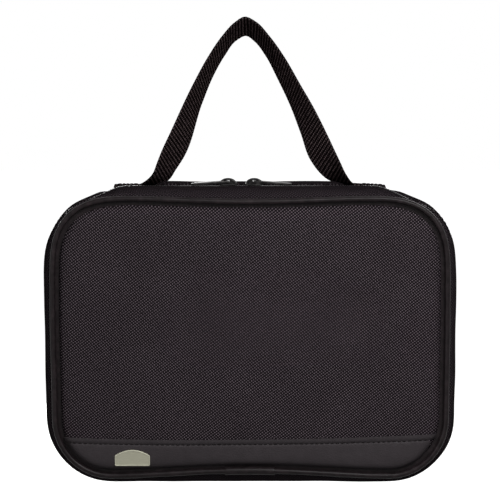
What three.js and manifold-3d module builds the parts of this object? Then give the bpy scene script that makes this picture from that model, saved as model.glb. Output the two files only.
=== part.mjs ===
// A soft zip case for a glucose meter. Two padded halves open like a book about a cloth hinge along
// the bottom. A zip with two sliders closes them, and a webbing handle sewn to the rear half carries them.
// Millimetres. +Z is up, -Y is the front, and the origin is the middle of the bottom.

import * as THREE from 'three';
import { mergeVertices } from 'three/addons/utils/BufferGeometryUtils.js';
import Module from 'manifold-3d';

// Case body: the crest is the widest line of the gusset, where the zip runs
const CASE_WIDTH = 241;
const CASE_HEIGHT = 172.5;
const HALF_DEPTH = 34; // zip line to the seam that holds the piping
const TOP_CORNER = 49;
const BOTTOM_CORNER = 39;
const TOP_DRAW_IN = 1.7; // the piping seams pull the middle of the top edge in by this much
const BOTTOM_DRAW_IN = 3; // of the bottom edge by this much
const SIDE_DRAW_IN = 0.5; // and the short sides by this much
const TOP_FILL = 4.2; // the front seam turns the top corners this much squarer than the crest
const SHOULDER_SLUMP = 2.3; // the crest sinks by this much where it turns into the top corners

// Gusset: flat beside the zip, then rounded down to the piping seam
const GUSSET_FLAT = 24;
const GUSSET_BULGE = 3.3; // the crest stands this far outside the piping along the sides
const GUSSET_THICKNESS = 2;

// Piping, its sewn-in flange, the binding over the flange and the sleeve over the piping's join
const PIPING_RADIUS = 1.7;
const FLANGE_THICKNESS = 0.8;
const FLANGE_WIDTH = 8;
const BINDING_THICKNESS = 0.6;
const BINDING_WIDTH = 3;
const SLEEVE_LENGTH = 29;
const SLEEVE_THICKNESS = 0.6;

// Panels, boards and linings
const PANEL_PADDING = 4; // panel thickness at its edge
const PANEL_CROWN = 3;
const BOARD_THICKNESS = 1.5;
const LINING_THICKNESS = 0.8;
const TRIM_HEIGHT = 27.5; // leatherette, from the bottom crest up to its folded top edge
const TRIM_PROUD = 0.5;

// Badge plate: straight sides under an arched top, held by two prongs
const BADGE_WIDTH = 20.5;
const BADGE_HEIGHT = 9.9;
const BADGE_SHOULDER = 6.4;
const BADGE_THICKNESS = 1;
const BADGE_INSET = 52.4; // from the left crest to its middle
const BADGE_Z = 11.2; // its lower edge
const PRONG_WIDTH = 2;
const PRONG_THICKNESS = 0.6;
const PRONG_LENGTH = 2.2;

// Zip
const ZIP_SLOT = 14; // between the gusset's two folded edges
const TAPE_REACH = 15; // zip line to the tape's sewn edge
const TAPE_THICKNESS = 0.6;
const COIL_WIDTH = 2.6;
const COIL_HEIGHT = 1.8;
const STOP_LENGTH = 5;
const SLIDER_POST = 0.8; // the post that runs between the two coils
const SLIDER_LENGTH = 10.4;
const SLIDER_WIDTH = 8.2;
const SLIDER_TAIL_WIDTH = 6.4;
const SLIDER_PLATE = 1;
const CROWN_LENGTH = 9.2;
const CROWN_HEIGHT = 3.2;
const CROWN_WIDTH = 2.4;
const CROWN_BAR = 1;
const PULL_LENGTH = 22;
const PULL_WIDTH = 5.8;
const PULL_THICKNESS = 1.2;
const PULL_ARM = 1.3;
const LEFT_SLIDER_X = -12.9;
const RIGHT_SLIDER_X = 2.5;

// Webbing handle
const STRAP_WIDTH = 22;
const STRAP_THICKNESS = 1.3;
const SEWN_OVERHANG = 9; // the sewn ends reach this far past the straight of the top
const LEFT_SEWN_LENGTH = 15;
const RIGHT_SEWN_LENGTH = 17.5;
const BEND_RADIUS = 10;
const LEG_ANGLE = 66; // degrees, where a leg leaves its bend
const HANDLE_HEIGHT = 98; // crest to apex
const HANDLE_ROOT = 20; // height over the crest at which the stiff arch starts
const APEX_X = -2.6;
const APEX_FRONT = 5; // how far behind the zip line the front edge passes the apex
const STRAP_TILT = 33; // degrees, the inner face turned to the front at the root and the apex
const STRAP_UNTWIST = 13; // degrees less, half-way up a leg
const LEG_PULL = 78; // reach of the leg's straight pull
const APEX_PULL = 4.5; // reach of the apex's round-over

// Inside: mesh pocket in the lid, elastic loops on the rear lining
const POCKET_MARGIN = 35.5; // from the crest to each side of the pocket
const POCKET_HEIGHT = 86;
const POCKET_BOTTOM = 22;
const POCKET_DEPTH = 7;
const MESH_THICKNESS = 0.8;
const POCKET_BINDING = 8;
const POCKET_BINDING_THICKNESS = 1.6;
const ELASTIC_THICKNESS = 1.2;
const LOOP_FOOT = 8;
const METER_INSET = 75; // from the left crest to the meter's middle
const PEN_INSET = 57; // from the right crest to the pen's middle
// Each loop: middle X, lowest Z, elastic width, and the width and depth of what it holds
const LOOPS = {
  meter_strap: { x: METER_INSET - CASE_WIDTH / 2, z: 72, elastic: 38, width: 58, depth: 20 },
  vial_loop: { x: 20, z: 58, elastic: 25, width: 28, depth: 26 },
  pen_loop_lower: { x: CASE_WIDTH / 2 - PEN_INSET, z: 34, elastic: 25, width: 17, depth: 16 },
  pen_loop_upper: { x: CASE_WIDTH / 2 - PEN_INSET, z: 102, elastic: 25, width: 17, depth: 16 },
};

const GAP = 0.3; // between pieces that are sewn or seated together
const THREAD_GAP = 0.1; // between a coil and the tape it is woven to

const CORNER_STEPS = 6;
const LONG_EDGE_STEPS = 6;
const GUSSET_STEPS = 4;
const PANEL_RINGS = 5;
const PIPING_STEPS = 8;
const LEG_STEPS = 16;
const BEND_STEPS = 4;
const STRAP_POINTS = 4; // across its width
const SEWN_STEPS = 3;
const ARCH_STEPS = 6;

// Levels over the crest line, measured outwards
const TAPE_TOP = -(GUSSET_THICKNESS + GAP);
const COIL_BOTTOM = TAPE_TOP + THREAD_GAP;
const COIL_TOP = COIL_BOTTOM + COIL_HEIGHT;
const COIL_EDGE = SLIDER_POST / 2 + GAP;
const SLIDER_TOP = COIL_TOP + GAP + SLIDER_PLATE;
const SLIDER_FLOOR = TAPE_TOP - TAPE_THICKNESS - GAP;
const PIPING_LEVEL = -(GUSSET_BULGE + PIPING_RADIUS);
const PIPING_DEPTH = HALF_DEPTH + GAP + PIPING_RADIUS;
const PANEL_LEVEL = -(GUSSET_BULGE + 2 * PIPING_RADIUS + GAP);
const PANEL_BACK = PIPING_DEPTH - PANEL_PADDING;
const BOARD_BACK = PANEL_BACK - GAP - BOARD_THICKNESS;
const LINING_BACK = BOARD_BACK - GAP - LINING_THICKNESS;
const SEWN_FRONT = ZIP_SLOT / 2 + GAP; // front edge of the handle's sewn ends
const HANDLE_REACH = CASE_WIDTH / 2 - TOP_CORNER + SEWN_OVERHANG;
const BADGE_X = BADGE_INSET - CASE_WIDTH / 2;
const POCKET_WIDTH = CASE_WIDTH - 2 * POCKET_MARGIN;

const FRONT = -1;
const REAR = 1;
const radians = THREE.MathUtils.degToRad;

const wasm = await Module();
wasm.setup();

// Solids

function toSolid(geometry) {
  const bare = geometry.clone();
  bare.deleteAttribute('normal');
  bare.deleteAttribute('uv');
  const merged = mergeVertices(bare, 1e-4);
  return new wasm.Manifold(
    new wasm.Mesh({
      numProp: 3,
      vertProperties: merged.attributes.position.array,
      triVerts: new Uint32Array(merged.index.array),
    }),
  );
}

function toGeometry(solid) {
  const { vertProperties, triVerts } = solid.getMesh();
  const geometry = new THREE.BufferGeometry();
  geometry.setAttribute('position', new THREE.BufferAttribute(vertProperties, 3));
  geometry.setIndex(new THREE.BufferAttribute(triVerts, 1));
  return geometry;
}

function joined(...geometries) {
  return toGeometry(geometries.map(toSolid).reduce((whole, next) => whole.add(next)));
}

function cut(geometry, ...tools) {
  return toGeometry(tools.map(toSolid).reduce((left, tool) => left.subtract(tool), toSolid(geometry)));
}

function kept(geometry, region) {
  return toGeometry(toSolid(geometry).intersect(toSolid(region)));
}

function box(from, to) {
  const size = to.map((value, axis) => value - from[axis]);
  const middle = to.map((value, axis) => (value + from[axis]) / 2);
  return new THREE.BoxGeometry(...size).translate(...middle);
}

// Triangles that close a flat ring of points, facing along the ring's own turn
function capFaces(ring) {
  const normal = new THREE.Vector3();
  ring.forEach((point, i) => {
    const next = ring[(i + 1) % ring.length];
    normal.add(new THREE.Vector3().crossVectors(point, next));
  });
  normal.normalize();
  const across = new THREE.Vector3().subVectors(ring[1], ring[0]).normalize();
  const up = new THREE.Vector3().crossVectors(normal, across);
  const flat = ring.map((point) => new THREE.Vector2(point.dot(across), point.dot(up)));
  return THREE.ShapeUtils.triangulateShape(flat, []).map(([a, b, c]) => {
    const turn = flat[b].clone().sub(flat[a]).cross(flat[c].clone().sub(flat[a]));
    return turn > 0 ? [a, b, c] : [a, c, b];
  });
}

// One closed body through rings of points, either closed on itself or capped at both ends
function loft(rings, closed) {
  const count = rings[0].length;
  const faces = [];
  const spans = closed ? rings.length : rings.length - 1;
  for (let i = 0; i < spans; i++) {
    const here = i * count;
    const next = ((i + 1) % rings.length) * count;
    for (let j = 0; j < count; j++) {
      const k = (j + 1) % count;
      faces.push([here + j, here + k, next + k], [here + j, next + k, next + j]);
    }
  }
  if (!closed) {
    const last = (rings.length - 1) * count;
    capFaces(rings[0]).forEach(([a, b, c]) => faces.push([a, c, b]));
    capFaces(rings.at(-1)).forEach((face) => faces.push(face.map((i) => i + last)));
  }
  const points = rings.flat();
  const volume = faces.reduce((sum, [a, b, c]) => {
    return sum + points[a].dot(new THREE.Vector3().crossVectors(points[b], points[c]));
  }, 0);
  const outward = volume < 0 ? faces.map(([a, b, c]) => [a, c, b]) : faces;
  return new THREE.BufferGeometry().setFromPoints(points).setIndex(outward.flat());
}

// The crest outline as stations: a point of the XZ plane, its outward normal, how far the piping seam is
// drawn in there, how far the front seam is filled out, and how far the crest itself sinks

// Zero at the end of the straight top and half-way round a top corner
const slumpAt = (turn) => (turn < Math.PI / 4 ? SHOULDER_SLUMP * Math.sin(4 * turn) : 0);

function cornerStation({ x, z, radius }, angle) {
  const nx = Math.cos(angle);
  const nz = Math.sin(angle);
  const fill = nz > 0 ? TOP_FILL * (2 * nx * nz) ** 2 : 0;
  const slump = nz > 0 ? slumpAt(Math.abs(angle - Math.PI / 2)) : 0;
  return { x: x + radius * nx, z: z + radius * nz, nx, nz, drawIn: SIDE_DRAW_IN * nx * nx, fill, slump };
}

function cornerRun(corner) {
  return Array.from({ length: CORNER_STEPS + 1 }, (_, i) =>
    cornerStation(corner, corner.from + (Math.PI / 2) * (i / CORNER_STEPS)),
  );
}

// Off runs from -1 to 1 along a long edge
const longEdgeDrawIn = (off, nz) => (nz > 0 ? TOP_DRAW_IN : BOTTOM_DRAW_IN) * (1 - off * off) ** 2;

// Stations between two corners, on a long edge
function longEdge(start, end) {
  return Array.from({ length: LONG_EDGE_STEPS - 1 }, (_, i) => {
    const share = (i + 1) / LONG_EDGE_STEPS;
    const off = 2 * share - 1;
    const x = THREE.MathUtils.lerp(start.x, end.x, share);
    return { ...start, x, drawIn: longEdgeDrawIn(off, start.nz) };
  });
}

function topCorner(side, from) {
  const z = CASE_HEIGHT - TOP_CORNER;
  return { x: side * (CASE_WIDTH / 2 - TOP_CORNER), z, radius: TOP_CORNER, from };
}

function bottomCorner(side, from) {
  const radius = BOTTOM_CORNER;
  return { x: side * (CASE_WIDTH / 2 - radius), z: radius, radius, from };
}

const BOTTOM_RIGHT = bottomCorner(1, -Math.PI / 2);
const TOP_RIGHT = topCorner(1, 0);
const TOP_LEFT = topCorner(-1, Math.PI / 2);
const BOTTOM_LEFT = bottomCorner(-1, Math.PI);
const HINGE_HALF = CASE_WIDTH / 2 - BOTTOM_CORNER;

function zipRun() {
  const right = [...cornerRun(BOTTOM_RIGHT), ...cornerRun(TOP_RIGHT)];
  const left = [...cornerRun(TOP_LEFT), ...cornerRun(BOTTOM_LEFT)];
  return [...right, ...longEdge(right.at(-1), left[0]), ...left];
}

function bottomRun() {
  const start = cornerRun(BOTTOM_LEFT).at(-1);
  const end = cornerRun(BOTTOM_RIGHT)[0];
  return longEdge(start, end);
}

const ringRun = () => [...zipRun(), ...bottomRun()];

// How far a depth lies through the gusset's rounded zone: 0 on the flat, 1 at the seam
function throughRound(y) {
  return THREE.MathUtils.clamp((Math.abs(y) - GUSSET_FLAT) / (HALF_DEPTH - GUSSET_FLAT), 0, 1);
}

const gussetLevel = (y) => -GUSSET_BULGE * (1 - Math.sqrt(1 - throughRound(y) ** 2));

function place(station, y, level) {
  const sewn = throughRound(y) ** 2;
  const front = station.fill * sewn - station.slump * (1 - sewn);
  const offset = level - station.drawIn * sewn + (y < 0 ? front : -station.slump);
  return new THREE.Vector3(station.x + station.nx * offset, y, station.z + station.nz * offset);
}

// A profile of [depth, level] points carried along stations on one side of the zip line
function sweep(run, side, profile, closed = false) {
  const rings = run.map((station) => profile.map(([depth, level]) => place(station, side * depth, level)));
  return loft(rings, closed);
}

// Gusset, piping, binding and sleeve

function gusset(side) {
  const seamInner = PIPING_LEVEL + FLANGE_THICKNESS / 2 + GAP;
  const depths = [ZIP_SLOT / 2];
  for (let i = 0; i <= GUSSET_STEPS; i++) {
    const through = Math.sin((Math.PI / 2) * (i / GUSSET_STEPS));
    depths.push(THREE.MathUtils.lerp(GUSSET_FLAT, HALF_DEPTH, through));
  }
  const outer = depths.map((depth) => [depth, gussetLevel(depth)]);
  const inner = depths.map((depth) => [depth, Math.max(gussetLevel(depth) - GUSSET_THICKNESS, seamInner)]);
  return sweep(ringRun(), side, [...outer, ...inner.reverse()], true);
}

// Profile points round the piping's axis
function pipingArc(radius, from, to, steps) {
  return Array.from({ length: steps + 1 }, (_, i) => {
    const angle = THREE.MathUtils.lerp(from, to, i / steps);
    return [PIPING_DEPTH + radius * Math.cos(angle), PIPING_LEVEL + radius * Math.sin(angle)];
  });
}

// The piping's cord and skin, with the flange that is caught in the seam
function piping(side) {
  const half = FLANGE_THICKNESS / 2;
  const meet = Math.asin(half / PIPING_RADIUS);
  const rawEdge = HALF_DEPTH - FLANGE_WIDTH;
  const bound = rawEdge + BINDING_WIDTH;
  const cord = pipingArc(PIPING_RADIUS, Math.PI - meet, meet - Math.PI, PIPING_STEPS);
  const under = [bound, rawEdge].map((depth) => [depth, PIPING_LEVEL - half]);
  const over = [rawEdge, bound].map((depth) => [depth, PIPING_LEVEL + half]);
  return sweep(ringRun(), side, [...cord, ...under, ...over], true);
}

// Tape folded over the flange's raw edge
function binding(side) {
  const slot = FLANGE_THICKNESS / 2 + GAP;
  const skin = slot + BINDING_THICKNESS;
  const slotEnd = HALF_DEPTH - FLANGE_WIDTH - GAP;
  const mouth = slotEnd + BINDING_WIDTH;
  const fold = slotEnd - BINDING_THICKNESS;
  const above = [[mouth, slot], [mouth, skin], [fold, skin]];
  const below = above.map(([depth, rise]) => [depth, -rise]).reverse();
  const profile = [...above, ...below, [slotEnd, -slot], [slotEnd, slot]];
  return sweep(ringRun(), side, profile.map(([depth, rise]) => [depth, PIPING_LEVEL + rise]), true);
}

// A short vinyl sleeve over the front and outer side of the piping, where its two ends meet
function pipingSleeve(side) {
  const inner = PIPING_RADIUS + GAP;
  const outerEdge = radians(85);
  const innerEdge = radians(-40);
  const inside = pipingArc(inner, outerEdge, innerEdge, ARCH_STEPS);
  const outside = pipingArc(inner + SLEEVE_THICKNESS, innerEdge, outerEdge, ARCH_STEPS);
  const profile = [...inside, ...outside];
  const bottom = { nx: 0, nz: -1, z: 0, fill: 0, slump: 0 };
  const run = [-1, 0, 1].map((end) => {
    const x = (end * SLEEVE_LENGTH) / 2;
    return { ...bottom, x, drawIn: longEdgeDrawIn(x / HINGE_HALF, bottom.nz) };
  });
  return sweep(run, side, profile);
}

// Panels

const PANEL_MIDDLE = CASE_HEIGHT / 2;
const panelRise = (share) => PANEL_CROWN * (1 - share ** 16);

function panelRing(side, depth, level, share) {
  return ringRun().map((station) => {
    const point = place(station, side * depth, level);
    return new THREE.Vector3(point.x * share, point.y, PANEL_MIDDLE + (point.z - PANEL_MIDDLE) * share);
  });
}

// Foam-backed panel with a pillow crown on its outer face
function crownedPanel(side, proud) {
  const rings = [panelRing(side, PANEL_BACK, PANEL_LEVEL, 1)];
  for (let i = 0; i <= PANEL_RINGS; i++) {
    const share = 1 - 0.4 * (i / PANEL_RINGS) ** 2;
    rings.push(panelRing(side, PIPING_DEPTH + proud + panelRise(share), PANEL_LEVEL, share));
  }
  return loft(rings, false);
}

function flatPanel(side, near, far) {
  return loft([panelRing(side, near, PANEL_LEVEL, 1), panelRing(side, far, PANEL_LEVEL, 1)], false);
}

const belowTrim = (top) => box([-CASE_WIDTH, -2 * PIPING_DEPTH, -CASE_HEIGHT], [CASE_WIDTH, 0, top]);

// Badge

// Where the trim's outer face lies at a height near the bottom edge
function trimFace(z) {
  const share = (PANEL_MIDDLE - z) / (PANEL_MIDDLE + PANEL_LEVEL);
  return PIPING_DEPTH + TRIM_PROUD + panelRise(share);
}

function badgeOutline() {
  const half = BADGE_WIDTH / 2;
  const arch = BADGE_HEIGHT - BADGE_SHOULDER;
  const radius = (half * half + arch * arch) / (2 * arch);
  const spread = Math.asin(half / radius);
  const outline = new THREE.Shape();
  outline.moveTo(-half, 0);
  outline.lineTo(half, 0);
  outline.lineTo(half, BADGE_SHOULDER);
  outline.absarc(0, BADGE_HEIGHT - radius, radius, Math.PI / 2 - spread, Math.PI / 2 + spread, false);
  return outline;
}

// The plate lies along the trim's slope: its own frame has the outline in XY and the front along +Z
function badgeFrame() {
  const low = trimFace(BADGE_Z);
  const high = trimFace(BADGE_Z + BADGE_HEIGHT);
  const frame = new THREE.Object3D();
  frame.position.set(BADGE_X, -(low + GAP), BADGE_Z);
  frame.rotation.x = Math.PI / 2 + Math.atan2(high - low, BADGE_HEIGHT);
  frame.updateMatrix();
  return frame.matrix;
}

const PRONG_LIFT = BADGE_HEIGHT * 0.45;

function prongs(clearance) {
  return [-1, 1].map((side) => {
    const x = (side * BADGE_WIDTH) / 3;
    const half = PRONG_WIDTH / 2 + clearance;
    const thick = PRONG_THICKNESS / 2 + clearance;
    const tip = -PRONG_LENGTH - clearance;
    return box([x - half, PRONG_LIFT - thick, tip], [x + half, PRONG_LIFT + thick, GAP]);
  });
}

function badge() {
  const plate = new THREE.ExtrudeGeometry(badgeOutline(), {
    depth: BADGE_THICKNESS,
    bevelEnabled: false,
    curveSegments: 10,
  });
  return joined(plate, ...prongs(0)).applyMatrix4(badgeFrame());
}

function trim() {
  const below = kept(crownedPanel(FRONT, TRIM_PROUD), belowTrim(TRIM_HEIGHT));
  return cut(below, ...prongs(GAP).map((prong) => prong.applyMatrix4(badgeFrame())));
}

// Zip

function zipTape(side) {
  const profile = [
    [COIL_EDGE, TAPE_TOP],
    [TAPE_REACH, TAPE_TOP],
    [TAPE_REACH, TAPE_TOP - TAPE_THICKNESS],
    [COIL_EDGE, TAPE_TOP - TAPE_THICKNESS],
  ];
  return sweep(zipRun(), side, profile);
}

const STOP_TURN = STOP_LENGTH / BOTTOM_CORNER;

function zipCoil(side) {
  const shoulder = COIL_HEIGHT / 3;
  const far = COIL_EDGE + COIL_WIDTH;
  const profile = [
    [COIL_EDGE, COIL_BOTTOM],
    [COIL_EDGE, COIL_TOP - shoulder],
    [COIL_EDGE + shoulder, COIL_TOP],
    [far - shoulder, COIL_TOP],
    [far, COIL_TOP - shoulder],
    [far, COIL_BOTTOM],
  ];
  const start = cornerStation(BOTTOM_RIGHT, BOTTOM_RIGHT.from + STOP_TURN);
  const end = cornerStation(BOTTOM_LEFT, BOTTOM_LEFT.from + Math.PI / 2 - STOP_TURN);
  return sweep([start, ...zipRun().slice(1, -1), end], side, profile);
}

// The metal stop clenched on the rear tape at one end of the zip
function zipStop(corner, atEnd) {
  const turn = STOP_TURN - GAP / BOTTOM_CORNER;
  const first = atEnd ? corner.from + Math.PI / 2 - turn : corner.from;
  const far = COIL_EDGE + COIL_WIDTH + GAP;
  const top = COIL_TOP + GAP;
  const profile = [[COIL_EDGE, COIL_BOTTOM], [COIL_EDGE, top], [far, top], [far, COIL_BOTTOM]];
  return sweep([cornerStation(corner, first), cornerStation(corner, first + turn)], REAR, profile);
}

function sliderPlate(low) {
  const nose = SLIDER_LENGTH / 2;
  const chamfer = SLIDER_LENGTH / 8;
  const wide = SLIDER_WIDTH / 2;
  const tail = SLIDER_TAIL_WIDTH / 2;
  const outline = new THREE.Shape([
    new THREE.Vector2(-nose, -tail + chamfer),
    new THREE.Vector2(-nose + chamfer, -tail),
    new THREE.Vector2(nose - chamfer, -wide),
    new THREE.Vector2(nose, -wide + chamfer),
    new THREE.Vector2(nose, wide - chamfer),
    new THREE.Vector2(nose - chamfer, wide),
    new THREE.Vector2(-nose + chamfer, tail),
    new THREE.Vector2(-nose, tail - chamfer),
  ]);
  const plate = new THREE.ExtrudeGeometry(outline, { depth: SLIDER_PLATE, bevelEnabled: false });
  return plate.translate(0, 0, low);
}

// The bridge over the slider that holds its pull
function sliderCrown() {
  const foot = CROWN_LENGTH / 2;
  const shoulder = foot - CROWN_HEIGHT / 2;
  const heel = foot - CROWN_BAR;
  const neck = shoulder - CROWN_BAR;
  const under = CROWN_HEIGHT - CROWN_BAR;
  const outline = new THREE.Shape();
  outline.moveTo(-foot, 0);
  outline.quadraticCurveTo(-foot, CROWN_HEIGHT, -shoulder, CROWN_HEIGHT);
  outline.lineTo(shoulder, CROWN_HEIGHT);
  outline.quadraticCurveTo(foot, CROWN_HEIGHT, foot, 0);
  outline.lineTo(heel, 0);
  outline.quadraticCurveTo(heel, under, neck, under);
  outline.lineTo(-neck, under);
  outline.quadraticCurveTo(-heel, under, -heel, 0);
  const sunk = SLIDER_PLATE / 2;
  return new THREE.ExtrudeGeometry(outline, { depth: CROWN_WIDTH, bevelEnabled: false, curveSegments: 4 })
    .translate(0, 0, -CROWN_WIDTH / 2)
    .rotateX(Math.PI / 2)
    .scale(1, 1, (CROWN_HEIGHT + sunk) / CROWN_HEIGHT)
    .translate(0, 0, SLIDER_TOP - sunk);
}

// Its nose points along +X, to the side that the zip is open on
function slider() {
  const post = box(
    [SLIDER_LENGTH / 5, -SLIDER_POST / 2, SLIDER_FLOOR - SLIDER_PLATE / 2],
    [(SLIDER_LENGTH * 2) / 5, SLIDER_POST / 2, SLIDER_TOP - SLIDER_PLATE / 2],
  );
  const top = sliderPlate(SLIDER_TOP - SLIDER_PLATE);
  const floor = sliderPlate(SLIDER_FLOOR - SLIDER_PLATE);
  return joined(top, floor, post, sliderCrown());
}

const PULL_AXIS = SLIDER_TOP + (CROWN_HEIGHT - CROWN_BAR) / 2;

// A flat tab with an eye round the crown, along -X from the bar that it turns on
function pull() {
  const bar = PULL_THICKNESS / 2;
  const wide = PULL_WIDTH / 2;
  const eye = CROWN_LENGTH / 2 + 2 * GAP;
  const outline = new THREE.Shape();
  outline.moveTo(bar, -wide);
  outline.lineTo(bar, wide);
  outline.lineTo(-PULL_LENGTH + wide, wide);
  outline.absarc(-PULL_LENGTH + wide, 0, wide, Math.PI / 2, (Math.PI * 3) / 2, false);
  const hole = new THREE.Path();
  const arm = wide - PULL_ARM;
  hole.moveTo(-bar, -arm);
  hole.lineTo(-eye, -arm);
  hole.lineTo(-eye, arm);
  hole.lineTo(-bar, arm);
  outline.holes.push(hole);
  return new THREE.ExtrudeGeometry(outline, {
    depth: PULL_THICKNESS,
    bevelEnabled: false,
    curveSegments: 8,
  }).translate(0, 0, PULL_AXIS - bar);
}

// Cloth hinge between the gussets, along the straight of the bottom
function hingeStrip() {
  const half = ZIP_SLOT / 2 - GAP;
  return box([-HINGE_HALF + GAP, -half, GAP], [HINGE_HALF - GAP, half, GUSSET_THICKNESS]);
}

// Handle

const STRAP_BASE = CASE_HEIGHT + GAP + STRAP_THICKNESS; // inner face of the strap over its folded-under end

// A section of the strap at a point of its front edge: rise is the angle of the run, tilt turns the inner
// face to the front, and a folded section reaches down to the gusset, bridging its rounding half-way
function strapSection(side, x, y, z, rise, tilt, folded) {
  const inward = new THREE.Vector3(-side * Math.sin(rise), 0, -Math.cos(rise));
  const across = new THREE.Vector3(0, Math.cos(tilt), 0).addScaledVector(inward, Math.sin(tilt));
  const outward = new THREE.Vector3(0, Math.sin(tilt), 0).addScaledVector(inward, -Math.cos(tilt));
  const inner = [];
  const outer = [];
  for (let i = 0; i < STRAP_POINTS; i++) {
    const point = new THREE.Vector3(x, y, z).addScaledVector(across, (STRAP_WIDTH * i) / (STRAP_POINTS - 1));
    const sag = folded ? gussetLevel(point.y) / 2 : 0;
    const top = point.clone().addScaledVector(outward, STRAP_THICKNESS);
    top.z += sag;
    outer.push(top);
    inner.push(folded ? point.clone().setZ(z - STRAP_THICKNESS + sag) : point);
  }
  return [...inner, ...outer.reverse()];
}

// How far the crest has fallen where it turns into a top corner
function crestFall(x) {
  const past = Math.max(0, Math.abs(x) - (CASE_WIDTH / 2 - TOP_CORNER));
  return TOP_CORNER - Math.sqrt(TOP_CORNER ** 2 - past ** 2) + slumpAt(Math.asin(past / TOP_CORNER));
}

const sewnLength = (side) => (side < 0 ? LEFT_SEWN_LENGTH : RIGHT_SEWN_LENGTH);

// The bend that lifts the strap off its sewn end
function bendPoint(side, angle) {
  const x = side * (HANDLE_REACH - sewnLength(side) - BEND_RADIUS * Math.sin(angle));
  return new THREE.Vector2(x, STRAP_BASE + BEND_RADIUS * (1 - Math.cos(angle)));
}

// Front edge of one leg in the XZ plane, from its bend to the apex
function legCurve(side) {
  const angle = radians(LEG_ANGLE);
  const start = bendPoint(side, angle);
  const pull = new THREE.Vector2(-side * Math.cos(angle), Math.sin(angle)).multiplyScalar(LEG_PULL);
  const apex = new THREE.Vector2(APEX_X, CASE_HEIGHT + HANDLE_HEIGHT);
  const over = apex.clone().setX(APEX_X + side * APEX_PULL);
  return new THREE.CubicBezierCurve(start, start.clone().add(pull), over, apex);
}

// The strap turns evenly from its root to the apex, so its rear edge stays smooth under the tight apex
function legSection(side, curve, t) {
  const point = curve.getPoint(t);
  const rise = radians(LEG_ANGLE) * (1 - t);
  const tilt = radians(STRAP_TILT - STRAP_UNTWIST * Math.sin(Math.PI * t) ** 2);
  const y = THREE.MathUtils.lerp(SEWN_FRONT, APEX_FRONT, t);
  return strapSection(side, point.x, y, point.y, rise, tilt, false);
}

// Where along a leg its front edge is a given height over the crest
function legShareAt(curve, height) {
  let low = 0;
  let high = 1;
  for (let i = 0; i < 30; i++) {
    const middle = (low + high) / 2;
    if (curve.getPoint(middle).y - CASE_HEIGHT < height) low = middle;
    else high = middle;
  }
  return low;
}

// A sewn end: the strap folded under itself, the bend, and the soft root of the leg
function handleEnd(side) {
  const curve = legCurve(side);
  const rootShare = legShareAt(curve, HANDLE_ROOT) - GAP / LEG_PULL / 3;
  const flat = sewnLength(side) - STRAP_THICKNESS;
  const rings = Array.from({ length: SEWN_STEPS + 1 }, (_, i) => {
    const x = HANDLE_REACH - flat * (i / SEWN_STEPS);
    return strapSection(side, side * x, SEWN_FRONT, STRAP_BASE - crestFall(x), 0, 0, true);
  });
  for (let i = 0; i <= BEND_STEPS; i++) {
    const share = i / BEND_STEPS;
    const angle = radians(LEG_ANGLE) * share;
    const at = bendPoint(side, angle);
    const tilt = radians(STRAP_TILT) * share ** 2;
    rings.push(strapSection(side, at.x, SEWN_FRONT, at.y, angle, tilt, false));
  }
  rings.push(legSection(side, curve, rootShare / 2), legSection(side, curve, rootShare));
  return loft(rings, false);
}

// The arch between the two roots
function handleStrap() {
  const leg = (side) => {
    const curve = legCurve(side);
    const from = legShareAt(curve, HANDLE_ROOT);
    return Array.from({ length: LEG_STEPS }, (_, i) =>
      legSection(side, curve, THREE.MathUtils.lerp(from, 1, i / LEG_STEPS)),
    );
  };
  const apex = legSection(-1, legCurve(-1), 1);
  return loft([...leg(-1), apex, ...leg(1).reverse()], false);
}

// Inside

// A strip of cloth that stands off the lining: [offset, stand] points along its face, with its thickness
// turned away from the lining, extruded upwards
function standingStrip(side, face, thickness, height) {
  const lining = side * (LINING_BACK - GAP);
  const skin = face.map(([x, stand], i) => {
    const before = face[Math.max(0, i - 1)];
    const after = face[Math.min(face.length - 1, i + 1)];
    const run = new THREE.Vector2(after[0] - before[0], after[1] - before[1]).normalize();
    return [x - run.y * thickness, stand + run.x * thickness];
  });
  const around = [...face, ...skin.reverse()];
  const outline = around.map(([x, stand]) => new THREE.Vector2(x, lining - side * stand));
  return new THREE.ExtrudeGeometry(new THREE.Shape(outline), { depth: height, bevelEnabled: false });
}

// Sewn flat at both sides, sloping up to the pocket's depth between them
function pocketFace() {
  const half = POCKET_WIDTH / 2;
  const sewn = half - POCKET_DEPTH;
  const full = sewn - POCKET_DEPTH;
  return [
    [-half, 0],
    [-sewn, 0],
    [-full, POCKET_DEPTH],
    [full, POCKET_DEPTH],
    [sewn, 0],
    [half, 0],
  ];
}

function meshPocket() {
  const lining = -(LINING_BACK - GAP);
  const inset = POCKET_WIDTH / 2 - 2 * POCKET_DEPTH;
  const front = standingStrip(FRONT, pocketFace(), MESH_THICKNESS, POCKET_HEIGHT);
  const floor = box(
    [-inset, lining, POCKET_BOTTOM],
    [inset, lining + POCKET_DEPTH + MESH_THICKNESS / 2, POCKET_BOTTOM + MESH_THICKNESS],
  );
  return joined(front.translate(0, 0, POCKET_BOTTOM), floor);
}

function pocketBinding() {
  const strip = standingStrip(FRONT, pocketFace(), POCKET_BINDING_THICKNESS, POCKET_BINDING);
  return strip.translate(0, 0, POCKET_BOTTOM + POCKET_HEIGHT + GAP);
}

// An elastic loop: two sewn feet and an arch over what it holds
function elasticLoop({ x, z, elastic, width, depth }) {
  const half = width / 2;
  const face = [[-half - LOOP_FOOT, 0]];
  for (let i = 0; i <= ARCH_STEPS; i++) {
    const angle = Math.PI * (1 - i / ARCH_STEPS);
    const spread = Math.sign(Math.cos(angle)) * Math.abs(Math.cos(angle)) ** 0.6;
    face.push([half * spread, depth * Math.sin(angle) ** 0.6]);
  }
  face.push([half + LOOP_FOOT, 0]);
  return standingStrip(REAR, face, ELASTIC_THICKNESS, elastic).translate(x, 0, z);
}

// Materials

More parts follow.
